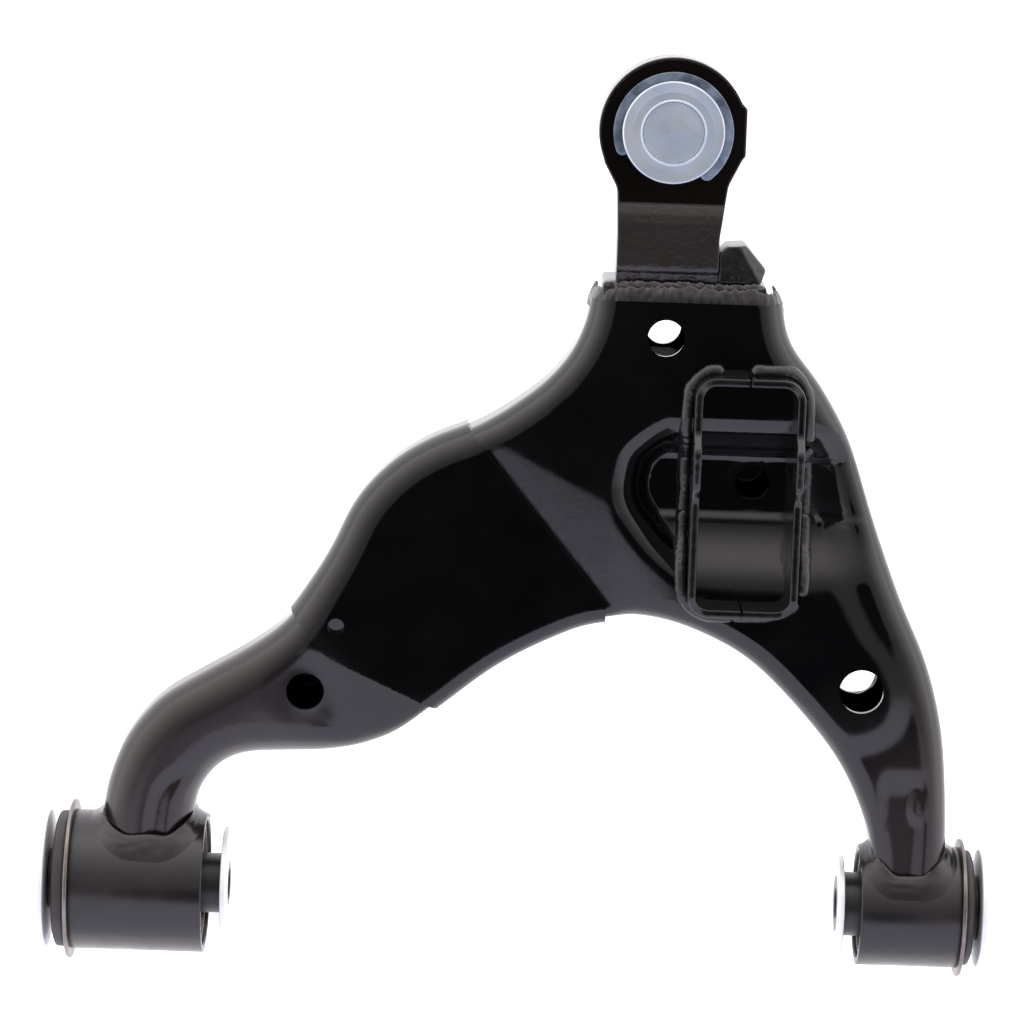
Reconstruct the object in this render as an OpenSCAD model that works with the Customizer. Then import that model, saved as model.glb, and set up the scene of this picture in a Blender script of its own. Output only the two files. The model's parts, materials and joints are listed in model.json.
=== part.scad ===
// Lower suspension control arm, left side, seen in the vehicle's own axes:
// +X forward, +Y outboard (towards the wheel), +Z up.
// The origin is the middle of the rear pivot bush, on the pivot axis.
// Two pressed shells make the hollow A-shaped body. It carries two rubber pivot
// bushes, a two-piece shock absorber bracket, a saddle plate over the rear leg,
// and a forged eye that holds a ball joint pointing down.

/* [Arm layout] */
// Distance between the rear and front pivot bushes along X
pivot_spacing = 400; // [398:1:402]
// Ball joint centre, forward of the rear pivot
ball_x = 262; // [261:0.5:263]
// Ball joint centre, outboard of the pivot axis
ball_y = 397; // [396:0.5:398]

/* [Pressed shells] */
// Height over both shells
shell_h = 52; // [50:1:54]
// Sheet thickness of both shells
sheet_t = 3.2; // [2.8:0.1:3.5]
// How far the upper shell's skirt hangs below the middle plane
upper_skirt = 8; // [6:1:12]
// How far the lower shell's wall reaches above the middle plane, inside the upper one
lower_lap = 10; // [6:1:12]
// Sheet thickness of the saddle plate
saddle_t = 2.8; // [2:0.2:3]
// Depth of the pressed pocket under the shock absorber
pocket_depth = 16; // [12:1:18]

/* [Shock absorber bracket] */
// Clear width between the bracket's long walls
bracket_gap = 47; // [45:0.5:48]
// Clear length between the bracket's short walls
bracket_len = 113; // [110:1:114]
// Plate thickness of the bracket
bracket_t = 4; // [3.5:0.5:4.5]
// Height of the long walls' ears above the shell
bracket_ear_h = 28; // [26:1:32]
// Height of the short walls above the shell
bracket_end_h = 17; // [14:1:20]
// Diameter of the shock absorber bolt's hole
shock_bolt_d = 12.4; // [12.2:0.1:14.4]

/* [Rear bush] */
// Outer diameter of the rear bush housing tube
rear_tube_d = 72; // [71:0.5:73]
// Length of the rear inner sleeve, washer face to washer face
rear_len = 96; // [95:1:98]
// Diameter of the rear bush's black hub
rear_hub_d = 31; // [30:0.5:32]
// Diameter of the rear sleeve's end spigots, which carry the washers
rear_spigot_d = 23; // [22:0.5:25]

/* [Front bush] */
// Outer diameter of the front bush housing tube
front_tube_d = 62.4; // [62:0.2:63]
// Length of the front inner sleeve, washer face to washer face
front_len = 76; // [75:1:78]
// Diameter of the front bush's black hub
front_hub_d = 33; // [32:0.5:34]
// Diameter of the front sleeve's end spigots, which carry the washers
front_spigot_d = 29; // [28:0.5:30]

/* [Bush details] */
// Bore of both inner sleeves, for an M16 pivot bolt
pivot_bore_d = 16.2; // [16.1:0.1:16.5]
// Wall of both housing tubes
tube_wall = 3.5; // [3:0.1:4]
// Wall of both outer sleeves
sleeve_wall = 2; // [1.5:0.1:2.5]
// Thickness of all four thrust washers
washer_t = 3; // [2.5:0.1:3.2]

/* [Ball joint] */
// Ball diameter
ball_d = 30; // [29:0.5:30.5]
// Outer diameter of the ball joint housing in the eye
housing_d = 51; // [51:0.1:52]
// Outer diameter of the forged eye
eye_d = 74; // [72:0.5:75]
// Height of the forged eye's upper face
eye_top = 16; // [15:0.5:17]
// Height of the forged eye
eye_h = 30; // [29:0.5:31]
// Diameter of the stud's M14 thread
stud_thread_d = 14; // [13.5:0.1:14.2]

/* [Hidden] */
$fn = 72;

gloss_black = [0.06, 0.06, 0.065];
zinc = [0.78, 0.82, 0.86];
grey_steel = [0.55, 0.55, 0.54];
rubber_black = [0.12, 0.12, 0.12];
liner_white = [0.9, 0.88, 0.8];

cut = 1;                        // how far a cutting shape runs past what it cuts
turn_gap = 0.05;                // radial clearance where one piece turns on another
soft_gap = 0.1;                 // clearance round the rubber boot's two ends
half_h = shell_h / 2;
ball_r = ball_d / 2;

// ---- Plan outline of the arm: three smooth edges joined across the leg ends and the neck ----

// Outer edge from the neck down the rear leg
rear_edge = [[224, 312], [221, 298], [214, 283], [201, 268], [181, 253], [165, 244], [150, 238],
    [133, 228], [119, 215], [109, 201], [100, 181], [89, 162], [75, 142], [56, 127], [31, 112],
    [11, 99], [-4, 81], [-13, 60], [-17, 38], [-17, 16]];
// Inner edge: up the rear leg, round the arch and down the front leg
arch_edge = [[29, 16], [30, 44], [39, 62], [53, 71], [75, 73], [100, 75], [128, 84], [152, 103],
    [181, 126], [210, 142], [232, 150], [260, 151], [286, 144], [312, 130], [338, 105], [359, 79],
    [372, 53], [378, 32], [379, 12]];
// Outer edge up the front leg to the neck
front_edge = [[416, 12], [416, 33], [414, 70], [410, 101], [401, 132], [386, 165], [371, 204],
    [357, 244], [341, 272], [325, 293], [320, 314]];

// One point of a Catmull-Rom curve from b to c
function spline_point(a, b, c, d, t) =
    0.5 * (2 * b + (c - a) * t + (2 * a - 5 * b + 4 * c - d) * t * t
        + (3 * b - a - 3 * c + d) * t * t * t);
// A smooth run through the points, each gap cut into n steps
function smooth_run(p, n = 3) = concat(
    [for (i = [0:len(p) - 2]) for (k = [0:n - 1])
        spline_point(p[max(i - 1, 0)], p[i], p[i + 1], p[min(i + 2, len(p) - 1)], k / n)],
    [p[len(p) - 1]]);
function unit(v) = v / norm(v);
function left_of(v) = [-v.y, v.x];
// A closed outline, counter-clockwise, moved inwards by d
function inset(p, d) = [for (i = [0:len(p) - 1])
    let (a = left_of(unit(p[i] - p[(i + len(p) - 1) % len(p)])),
         b = left_of(unit(p[(i + 1) % len(p)] - p[i])))
    p[i] + d * (a + b) / (1 + a * b)];

arm_outline = concat(smooth_run(rear_edge), smooth_run(arch_edge), smooth_run(front_edge));

// ---- Places on the arm ----

drain_holes = [[[262, 295], 18.4], [[368, 118], 22.4]];   // through both shells: place, diameter
leg_hole = [[86, 108], 19.2];                             // upper shell only
pocket_hole = [[309, 221], 17.6];                         // in the pocket's floor
saddle_hole = [[101, 143], 8.4];                          // small round hole in the saddle plate
saddle_band = [[60, 163], [168, 92], [249, 137], [153, 261]];

pocket_x = [244, 354];          // ends of the pocket along X
pocket_floor_y = [207, 234];    // flat part of its floor
pocket_rim_y = [176, 251];      // where its slopes meet the roof
pocket_floor_z = half_h - pocket_depth;

bracket_x = 304.5;              // middle of the bracket
bracket_y = 217.5;
shock_bolt_y = 230;
shock_bolt_z = 40;
bracket_corner_r = 7;           // inner corner radius

neck_x = [236, 287];            // sides of the forged neck
spigot_x = [231.5, 310.5];      // sides of the forging's root, which closes the shells' end
spigot_y = [305.5, 316];        // ends of that root along Y
collar_y = 322;                 // outboard end of the collar beyond the shells

// A cylinder along X
module bar(x0, x1, d) {
    translate([x0, 0, 0]) rotate([0, 90, 0]) cylinder(d = d, h = x1 - x0);
}
// A tube along X
module ring(x0, x1, d_out, d_in) {
    difference() {
        bar(x0, x1, d_out);
        bar(x0 - cut, x1 + cut, d_in);
    }
}
// A vertical hole through everything between two heights
module hole_at(place, d, z0, z1) {
    translate([place.x, place.y, z0 - cut]) cylinder(d = d, h = z1 - z0 + 2 * cut);
}
// An outline raised between two heights
module slab(outline, z0, z1) {
    translate([0, 0, z0]) linear_extrude(z1 - z0) polygon(outline);
}
// The room that the two bush housings take out of the legs
module bush_room() {
    bar(-30, 45, rear_tube_d);
    translate([pivot_spacing, 0, 0]) bar(-35, 25, front_tube_d);
}
// The room that the forging's root takes out of the shells' end
module root_room() {
    depth = half_h - sheet_t;
    translate([spigot_x[0], spigot_y[0], -depth])
        cube([spigot_x[1] - spigot_x[0], spigot_y[1] - spigot_y[0] + 10, 2 * depth]);
}
// A trough along X with sloping sides; d moves every face outwards
module trough(d) {
    translate([pocket_x[0] - d, 0, 0]) rotate([90, 0, 90])
        linear_extrude(pocket_x[1] - pocket_x[0] + 2 * d)
            polygon([[pocket_rim_y[0] - d, half_h], [pocket_floor_y[0] - d / 2, pocket_floor_z - d],
                [pocket_floor_y[1] + d / 2, pocket_floor_z - d], [pocket_rim_y[1] + d, half_h]]);
}

// ---- Pressed body ----

module upper_shell() color(gloss_black) difference() {
    union() {
        difference() {
            slab(arm_outline, -upper_skirt, half_h);
            slab(inset(arm_outline, sheet_t), -upper_skirt - cut, half_h - sheet_t);
        }
        intersection() {
            trough(sheet_t);
            slab(inset(arm_outline, sheet_t / 2), 0, half_h);
        }
    }
    intersection() {
        union() {
            trough(0);
            translate([pocket_x[0], pocket_rim_y[0], half_h])
                cube([pocket_x[1] - pocket_x[0], pocket_rim_y[1] - pocket_rim_y[0], cut]);
        }
        slab(inset(arm_outline, sheet_t), 0, half_h + 2 * cut);
    }
    for (h = drain_holes) hole_at(h[0], h[1], 0, half_h);
    hole_at(leg_hole[0], leg_hole[1], 0, half_h);
    hole_at(pocket_hole[0], pocket_hole[1], 0, half_h);
    bush_room();
    root_room();
}

module lower_shell() color(gloss_black) difference() {
    slab(inset(arm_outline, sheet_t), -half_h, lower_lap);
    slab(inset(arm_outline, 2 * sheet_t), sheet_t - half_h, lower_lap + cut);
    for (h = drain_holes) hole_at(h[0], h[1], -half_h, 0);
    bush_room();
    root_room();
    trough(sheet_t + turn_gap);
}

module saddle_plate() color(gloss_black) difference() {
    intersection() {
        slab(inset(arm_outline, -saddle_t), -2, half_h + saddle_t);
        slab(saddle_band, -2, half_h + saddle_t);
    }
    slab(arm_outline, -2 - cut, half_h);
    hole_at(saddle_hole[0], saddle_hole[1], half_h, half_h + saddle_t);
}

// ---- Forged ball joint holder ----

module ball_joint_holder() color(gloss_black) difference() {
    union() {
        root = half_h - sheet_t;
        translate([spigot_x[0], spigot_y[0], -root])
            cube([spigot_x[1] - spigot_x[0], spigot_y[1] - spigot_y[0], 2 * root]);
        translate([spigot_x[0] - 2, spigot_y[1], -root + 1])
            cube([spigot_x[1] - spigot_x[0] + 3, collar_y - spigot_y[1], 2 * root - 2]);
        translate([neck_x[0], 0, 0]) rotate([90, 0, 90]) linear_extrude(neck_x[1] - neck_x[0])
            polygon([[collar_y - cut, -18], [345, eye_top - eye_h], [ball_y, eye_top - eye_h],
                [ball_y, eye_top], [361, eye_top], [356, eye_top + 1.5], [330, half_h - 4],
                [327, half_h - 6], [collar_y - cut, half_h - 8]]);
        translate([ball_x, ball_y, eye_top - eye_h]) cylinder(d = eye_d, h = eye_h);
        slab([[neck_x[0], 345], [neck_x[1], 345], [290.5, 372], [ball_x + 34.5, ball_y - 13],
            [ball_x - 33.5, ball_y - 16], [234.8, 370]], eye_top - eye_h, eye_top);
        translate([ball_x, ball_y - 13, eye_top - eye_h]) cube([36.4, 26, eye_h]);
    }
    hole_at([ball_x, ball_y], housing_d, eye_top - eye_h, eye_top);
}

module steering_stop() color(gloss_black)
    slab([[neck_x[1], collar_y], [304, collar_y], [308, 327.5], [298, 338.5], [290.5, 338.5],
        [neck_x[1], 333]], -12, half_h - 7);

// ---- Shock absorber bracket: two bent halves that meet at the middle of the short walls ----

// Side view of the walls: low at the short ends and raised to ears round the bolt
module wall_profile() {
    y0 = -bracket_len / 2 - bracket_t;
    y1 = bracket_len / 2 + bracket_t;
    ear = [shock_bolt_y - bracket_y - 5, shock_bolt_y - bracket_y + 13];
    low = half_h + bracket_end_h;
    top = half_h + bracket_ear_h;
    polygon([[y0, half_h], [pocket_rim_y[0] - bracket_y, half_h],
        [pocket_floor_y[0] - bracket_y, pocket_floor_z],
        [pocket_floor_y[1] - bracket_y, pocket_floor_z],
        [pocket_rim_y[1] - bracket_y, half_h], [y1, half_h], [y1, low],
        [y1 - 14, low], [ear[1], top], [ear[0], top], [y0 + 24, low + 5], [y0, low]]);
}
// Plan of a rounded rectangle
module rounded_plan(w, l, r) {
    square([w - 2 * r, l], center = true);
    square([w, l - 2 * r], center = true);
    for (sx = [-1, 1]) for (sy = [-1, 1])
        translate([sx * (w / 2 - r), sy * (l / 2 - r)]) circle(r = r);
}
// One half of the bracket; side is -1 for the rear half and 1 for the front half
module bracket_half(side) {
    w = bracket_gap + 2 * bracket_t;
    l = bracket_len + 2 * bracket_t;
    color(gloss_black) translate([bracket_x, bracket_y, 0]) difference() {
        intersection() {
            linear_extrude(2 * shell_h) difference() {
                rounded_plan(w, l, bracket_corner_r + bracket_t);
                rounded_plan(bracket_gap, bracket_len, bracket_corner_r);
                translate([-side * w / 2, 0]) square([w, 2 * l], center = true);
            }
            translate([-w / 2, 0, 0]) rotate([90, 0, 90]) linear_extrude(w) wall_profile();
        }
        translate([0, shock_bolt_y - bracket_y, shock_bolt_z]) bar(-w, w, shock_bolt_d);
    }
}
module shock_bracket_rear() bracket_half(-1);
module shock_bracket_front() bracket_half(1);

// ---- Pivot bushes. Each is drawn about its own middle, flange towards +X ----
// tube = [start, end] of the housing; collar_end = outer face of the rubber's thrust collar

flange_t = 2;
rear_tube = [-36, 32];
front_tube = [-27, 24.5];
rear_collar_end = 41;
front_collar_end = 31.5;
rear_flange_d = 82;
front_flange_d = 71;
rear_collar_d = 70.5;
front_collar_d = 59.6;
rear_large_d = 71;
rear_small_d = 59;
front_large_d = 61;
front_small_d = 50.5;
rubber_recess = 5;              // the rubber stops this far inside the tube's open end

// The rear bush faces the other way round
module at_rear() { rotate([0, 0, 180]) children(); }
module at_front() { translate([pivot_spacing, 0, 0]) children(); }

module bush_housing(tube, d) color(gloss_black) ring(tube[0], tube[1], d, d - 2 * tube_wall);

module bush_outer_sleeve(tube, tube_d, flange_d) {
    d_out = tube_d - 2 * tube_wall;
    color(grey_steel) difference() {
        union() {
            bar(tube[0] + 2, tube[1], d_out);
            bar(tube[1], tube[1] + flange_t, flange_d);
        }
        bar(tube[0], tube[1] + flange_t + cut, d_out - 2 * sleeve_wall);
    }
}

module bush_rubber(tube, tube_d, collar_end, collar_d, hub_d) {
    flange_face = tube[1] + flange_t;
    color(rubber_black) difference() {
        union() {
            bar(tube[0] + rubber_recess, flange_face, tube_d - 2 * tube_wall - 2 * sleeve_wall);
            bar(flange_face, collar_end, collar_d);
        }
        bar(tube[0], collar_end + cut, hub_d + 2 * turn_gap);
    }
}

module bush_inner_sleeve(len, hub_d, spigot_d) {
    color(rubber_black) difference() {
        union() {
            bar(washer_t - len / 2, len / 2 - washer_t, hub_d);
            bar(-len / 2, len / 2, spigot_d);
        }
        bar(-len / 2 - cut, len / 2 + cut, pivot_bore_d);
    }
}

// side is 1 for the washer at the flanged end and -1 for the one at the open end
module bush_washer(len, d, spigot_d, side) {
    x0 = side > 0 ? len / 2 - washer_t : -len / 2;
    color(zinc) ring(x0, x0 + washer_t, d, spigot_d);
}

module rear_bush_housing() at_rear() bush_housing(rear_tube, rear_tube_d);
module rear_bush_outer_sleeve() at_rear() bush_outer_sleeve(rear_tube, rear_tube_d, rear_flange_d);
module rear_bush_rubber() at_rear()
    bush_rubber(rear_tube, rear_tube_d, rear_collar_end, rear_collar_d, rear_hub_d);
module rear_bush_inner_sleeve() at_rear() bush_inner_sleeve(rear_len, rear_hub_d, rear_spigot_d);
module rear_bush_large_washer() at_rear() bush_washer(rear_len, rear_large_d, rear_spigot_d, 1);
module rear_bush_small_washer() at_rear() bush_washer(rear_len, rear_small_d, rear_spigot_d, -1);

module front_bush_housing() at_front() bush_housing(front_tube, front_tube_d);
module front_bush_outer_sleeve() at_front()
    bush_outer_sleeve(front_tube, front_tube_d, front_flange_d);
module front_bush_rubber() at_front()
    bush_rubber(front_tube, front_tube_d, front_collar_end, front_collar_d, front_hub_d);
module front_bush_inner_sleeve() at_front()
    bush_inner_sleeve(front_len, front_hub_d, front_spigot_d);
module front_bush_large_washer() at_front()
    bush_washer(front_len, front_large_d, front_spigot_d, 1);
module front_bush_small_washer() at_front()
    bush_washer(front_len, front_small_d, front_spigot_d, -1);

// ---- Ball joint, turned about the vertical axis through the ball's centre ----

cavity_r = 19.5;                // bore of the housing round the liner
cavity_z = [-12, 15.4];
cap_shoulder_z = 18.2;          // underside of the housing's rolled lip
lip_r = 15.2;                   // opening of the rolled lip
housing_top = eye_top + 4.5;
eye_bottom = eye_top - eye_h;
groove_r = 23;                  // snap ring groove
ring_t = 2.5;                   // snap ring thickness
ring_r = 30;                    // snap ring outer radius
ring_angles = [311, 248];       // where the snap ring starts and how far it runs
skirt_r = 26;                   // lower skirt, which carries the boot
skirt_z = eye_bottom - 11;
boot_groove = [24.5, -22, -18.9];

module at_ball() { translate([ball_x, ball_y, 0]) children(); }

module ball_joint_housing() color(zinc) at_ball() rotate_extrude()
    polygon([[cavity_r, cavity_z[0]], [cavity_r, cap_shoulder_z], [lip_r, cap_shoulder_z],
        [lip_r, housing_top], [housing_d / 2 - 0.8, housing_top], [housing_d / 2, housing_top - 0.8],
        [housing_d / 2, eye_top + ring_t + 0.1], [groove_r, eye_top + ring_t + 0.1],
        [groove_r, eye_top], [housing_d / 2, eye_top], [housing_d / 2, eye_bottom],
        [31, eye_bottom], [31, eye_bottom - 4], [skirt_r, eye_bottom - 4],
        [skirt_r, boot_groove[2]], [boot_groove[0], boot_groove[2]],
        [boot_groove[0], boot_groove[1]], [skirt_r, boot_groove[1]], [skirt_r, skirt_z],
        [21.5, skirt_z], [15.5, cavity_z[0]]]);

module ball_joint_end_cap() color(zinc) at_ball() {
    translate([0, 0, cavity_z[1]]) cylinder(r = cavity_r, h = cap_shoulder_z - cavity_z[1]);
    translate([0, 0, cap_shoulder_z]) cylinder(r = lip_r, h = housing_top - cap_shoulder_z - 0.4);
}

module ball_seat_liner() color(liner_white) at_ball() difference() {
    translate([0, 0, cavity_z[0]]) cylinder(r = cavity_r, h = cavity_z[1] - cavity_z[0]);
    sphere(r = ball_r + turn_gap);
    translate([0, 0, ball_r - 3]) cylinder(r = 6, h = 6);
    rotate_extrude() polygon([[0, -4], [12, -8.5], [14.7, cavity_z[0] - 0.5], [0, cavity_z[0] - cut]]);
}

// Heights down the stud: neck, boot seat, 1:8 taper and thread
stud_neck_r = 7.5;
boot_seat_r = 9;
taper_end_r = 7.5;
stud_z = [-33, -40, -62, -84];
cotter_z = -78;

module ball_stud() color(grey_steel) at_ball() difference() {
    union() {
        sphere(r = ball_r);
        rotate_extrude() polygon([[0, -10], [stud_neck_r, -10], [stud_neck_r, stud_z[0]],
            [boot_seat_r, stud_z[0]], [boot_seat_r, stud_z[1]], [taper_end_r, stud_z[2]],
            [stud_thread_d / 2, stud_z[2]], [stud_thread_d / 2, stud_z[3]], [0, stud_z[3]]]);
    }
    translate([0, 0, cotter_z]) rotate([90, 0, 0]) cylinder(d = 3.4, h = 40, center = true);
}

module snap_ring() color(zinc) at_ball() translate([0, 0, eye_top]) {
    inner_r = groove_r + turn_gap;
    mid_r = (ring_r + inner_r) / 2;
    end_r = (ring_r - inner_r) / 2 - turn_gap;
    rotate([0, 0, ring_angles[0]]) rotate_extrude(angle = ring_angles[1])
        translate([inner_r, 0]) square([ring_r - inner_r, ring_t]);
    for (a = [0, ring_angles[1]])
        rotate([0, 0, ring_angles[0] + a]) translate([mid_r, 0, 0]) cylinder(r = end_r, h = ring_t);
}

module dust_boot() color(rubber_black) at_ball() rotate_extrude()
    polygon([[24.6, -19.1], [24.6, -21.7], [26.3, -21.7], [26.5, -25.4], [27.4, -27], [27.9, -28.6],
        [26.9, -30.8], [24, -32.6], [19.6, -33.8], [14.8, -34.4], [boot_seat_r + soft_gap, -35],
        [boot_seat_r + soft_gap, -39.6], [12, -39.6], [12.2, -37.2], [15, -36.6], [20, -36],
        [25, -34.6], [28.8, -32], [30.1, -28.5], [29.4, -25], [28.4, -22.8], [26.6, -21.6],
        [26.6, -19.1]]);

// A wire ring round the boot
module boot_clip(r, z, wire_d) color(zinc) at_ball()
    translate([0, 0, z]) rotate_extrude() translate([r, 0]) circle(d = wire_d, $fn = 24);
module boot_clip_large() boot_clip(27.6, -20.4, 1.8);
module boot_clip_small() boot_clip(13, -38.5, 1.6);

upper_shell();
lower_shell();
saddle_plate();
ball_joint_holder();
steering_stop();
shock_bracket_rear();
shock_bracket_front();
rear_bush_housing();
rear_bush_outer_sleeve();
rear_bush_rubber();
rear_bush_inner_sleeve();
rear_bush_large_washer();
rear_bush_small_washer();
front_bush_housing();
front_bush_outer_sleeve();
front_bush_rubber();
front_bush_inner_sleeve();
front_bush_large_washer();
front_bush_small_washer();
ball_joint_housing();
ball_joint_end_cap();
ball_seat_liner();
ball_stud();
snap_ring();
dust_boot();
boot_clip_large();
boot_clip_small();
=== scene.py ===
import json
import math

import bmesh
import bpy
import numpy as np
from mathutils import Matrix, Vector, noise
from mathutils.geometry import delaunay_2d_cdt


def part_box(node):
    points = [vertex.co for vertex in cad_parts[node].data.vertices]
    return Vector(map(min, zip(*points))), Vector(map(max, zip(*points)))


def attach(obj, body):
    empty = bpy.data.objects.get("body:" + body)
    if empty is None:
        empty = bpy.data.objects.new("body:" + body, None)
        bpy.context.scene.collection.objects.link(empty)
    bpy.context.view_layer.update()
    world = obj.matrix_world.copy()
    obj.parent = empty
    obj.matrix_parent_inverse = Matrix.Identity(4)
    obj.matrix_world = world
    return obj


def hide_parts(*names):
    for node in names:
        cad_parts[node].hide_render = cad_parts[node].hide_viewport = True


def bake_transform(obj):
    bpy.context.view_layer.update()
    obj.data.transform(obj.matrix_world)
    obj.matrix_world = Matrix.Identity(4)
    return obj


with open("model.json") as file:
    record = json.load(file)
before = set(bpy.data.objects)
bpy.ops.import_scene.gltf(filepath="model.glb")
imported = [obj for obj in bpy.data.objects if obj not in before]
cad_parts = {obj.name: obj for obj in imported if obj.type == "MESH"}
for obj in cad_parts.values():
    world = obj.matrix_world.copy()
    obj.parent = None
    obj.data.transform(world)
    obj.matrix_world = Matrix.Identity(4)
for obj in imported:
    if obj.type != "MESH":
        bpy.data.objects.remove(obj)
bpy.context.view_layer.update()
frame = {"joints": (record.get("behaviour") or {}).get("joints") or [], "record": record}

# Everything below is worked out in millimetres in the frame's own axes and turned into
# metres when a mesh is made: +X forward, +Y outboard, +Z up, origin in the rear bush.
MM = 0.001


def box_mm(node):
    """Lowest and highest corner of a CAD node in millimetres."""
    low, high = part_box(node)
    return np.array(low) / MM, np.array(high) / MM


MOUNTS = {m["name"]: np.array(m["pos_m"]) / MM for m in frame["record"]["mounts"]}
REAR = MOUNTS["rear_pivot_bore"]
FRONT = MOUNTS["front_pivot_bore"]
SHOCK_BOLT = MOUNTS["shock_absorber_bolt"]
BALL = np.array(next(j for j in frame["joints"] if j["name"] == "stud_swing")["pos_m"]) / MM

SHEET_T = 3.2                                   # sheet thickness of both shells
ROOF_Z = box_mm("upper_shell")[1][2]            # flat roof of the upper shell
SKIRT_Z = box_mm("upper_shell")[0][2]           # lower edge of its skirt
BELLY_Z = box_mm("lower_shell")[0][2]           # flat bottom of the lower shell
SADDLE_T = box_mm("saddle_plate")[1][2] - ROOF_Z
SADDLE_Z = box_mm("saddle_plate")[0][2]
REAR_TUBE_R = box_mm("rear_bush_housing")[1][2]
FRONT_TUBE_R = box_mm("front_bush_housing")[1][2]
NECK_Y = 313.0                                  # outboard end of the shells


# ---------------------------------------------------------------- small tools

def fade(t):
    """0 below 0, 1 above 1 and smooth between."""
    t = np.clip(t, 0.0, 1.0)
    return t * t * (3 - 2 * t)


def ramp(value, start, end):
    """0 at start, 1 at end; start may be above end."""
    return fade((np.asarray(value, float) - start) / (end - start))


def unit(v):
    v = np.asarray(v, float)
    return v / np.linalg.norm(v)


def path_distance(x, y, path):
    """Distance of each point from a polyline, and on which side it is (positive on the left)."""
    x, y = np.asarray(x, float), np.asarray(y, float)
    best = np.full(x.shape, 1e9)
    side = np.zeros(x.shape)
    path = np.asarray(path, float)
    for a, b in zip(path[:-1], path[1:]):
        d = b - a
        t = np.clip(((x - a[0]) * d[0] + (y - a[1]) * d[1]) / (d @ d), 0, 1)
        px, py = x - a[0] - t * d[0], y - a[1] - t * d[1]
        r = np.hypot(px, py)
        near = r < best
        best = np.where(near, r, best)
        side = np.where(near, np.sign(d[0] * py - d[1] * px), side)
    return best, side


def catmull(points, steps=16):
    """A dense Catmull-Rom run through the points."""
    p = np.asarray(points, float)
    out = []
    for i in range(len(p) - 1):
        a, b, c, d = p[max(i - 1, 0)], p[i], p[i + 1], p[min(i + 2, len(p) - 1)]
        t = np.linspace(0, 1, steps, endpoint=False)[:, None]
        out.append(0.5 * (2 * b + (c - a) * t + (2 * a - 5 * b + 4 * c - d) * t * t
                          + (3 * b - a - 3 * c + d) * t ** 3))
    return np.vstack(out + [p[-1:]])


def resample(path, step):
    """The same polyline with even spacing."""
    path = np.asarray(path, float)
    run = np.concatenate([[0], np.cumsum(np.linalg.norm(np.diff(path, axis=0), axis=1))])
    at = np.linspace(0, run[-1], max(2, int(round(run[-1] / step)) + 1))
    return np.stack([np.interp(at, run, path[:, k]) for k in range(path.shape[1])], 1)


def smooth_run(points, step=2.0, passes=10):
    """An evenly spaced smooth curve through the points, softened a little."""
    p = resample(catmull(points), step)
    for _ in range(passes):
        p[1:-1] = (p[:-2] + 2 * p[1:-1] + p[2:]) / 4
    return p


def left_normals(p):
    t = np.gradient(p, axis=0)
    t /= np.linalg.norm(t, axis=1)[:, None]
    return np.stack([-t[:, 1], t[:, 0]], 1)


def inside(x, y, loop):
    """Which points are inside a closed plan outline."""
    x, y = np.asarray(x, float), np.asarray(y, float)
    hit = np.zeros(x.shape, bool)
    for (ax, ay), (bx, by) in zip(loop, np.roll(loop, -1, axis=0)):
        if ay != by:
            crosses = ((ay > y) != (by > y)) & (x < (bx - ax) * (y - ay) / (by - ay) + ax)
            hit ^= crosses
    return hit


# ---------------------------------------------------------------- materials

def shader(name, colour, metallic=0.0, ior=1.5):
    """A material with its Principled node and a helper to add nodes."""
    mat = bpy.data.materials.new(name)
    mat.use_nodes = True
    tree = mat.node_tree
    main = tree.nodes["Principled BSDF"]
    main.inputs["Base Color"].default_value = (*colour, 1)
    main.inputs["Metallic"].default_value = metallic
    main.inputs["IOR"].default_value = ior
    return mat, tree, main


def add_noise(tree, scale, detail=3.0, rough=0.5, stretch=None):
    place = tree.nodes.new("ShaderNodeTexCoord")
    out = place.outputs["Object"]
    if stretch:
        squeeze = tree.nodes.new("ShaderNodeMapping")
        squeeze.inputs["Scale"].default_value = stretch
        tree.links.new(out, squeeze.inputs["Vector"])
        out = squeeze.outputs["Vector"]
    tex = tree.nodes.new("ShaderNodeTexNoise")
    tex.inputs["Scale"].default_value = scale
    tex.inputs["Detail"].default_value = detail
    tex.inputs["Roughness"].default_value = rough
    tree.links.new(out, tex.inputs["Vector"])
    return tex.outputs["Fac"]


def add_range(tree, source, low, high, src_low=0.35, src_high=0.65):
    node = tree.nodes.new("ShaderNodeMapRange")
    node.inputs["From Min"].default_value = src_low
    node.inputs["From Max"].default_value = src_high
    node.inputs["To Min"].default_value = low
    node.inputs["To Max"].default_value = high
    tree.links.new(source, node.inputs["Value"])
    return node.outputs["Result"]


def add_mix(tree, factor, colour_a, colour_b):
    node = tree.nodes.new("ShaderNodeMix")
    node.data_type = "RGBA"
    node.inputs["A"].default_value = (*colour_a, 1)
    node.inputs["B"].default_value = (*colour_b, 1)
    tree.links.new(factor, node.inputs["Factor"])
    return node.outputs["Result"]


def add_bump(tree, main, layers):
    """Stacks bumps: (height, distance in mm, strength)."""
    normal = None
    for height, distance, strength in layers:
        bump = tree.nodes.new("ShaderNodeBump")
        bump.inputs["Distance"].default_value = distance * MM
        bump.inputs["Strength"].default_value = strength
        tree.links.new(height, bump.inputs["Height"])
        if normal:
            tree.links.new(normal, bump.inputs["Normal"])
        normal = bump.outputs["Normal"]
    tree.links.new(normal, main.inputs["Normal"])


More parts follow.
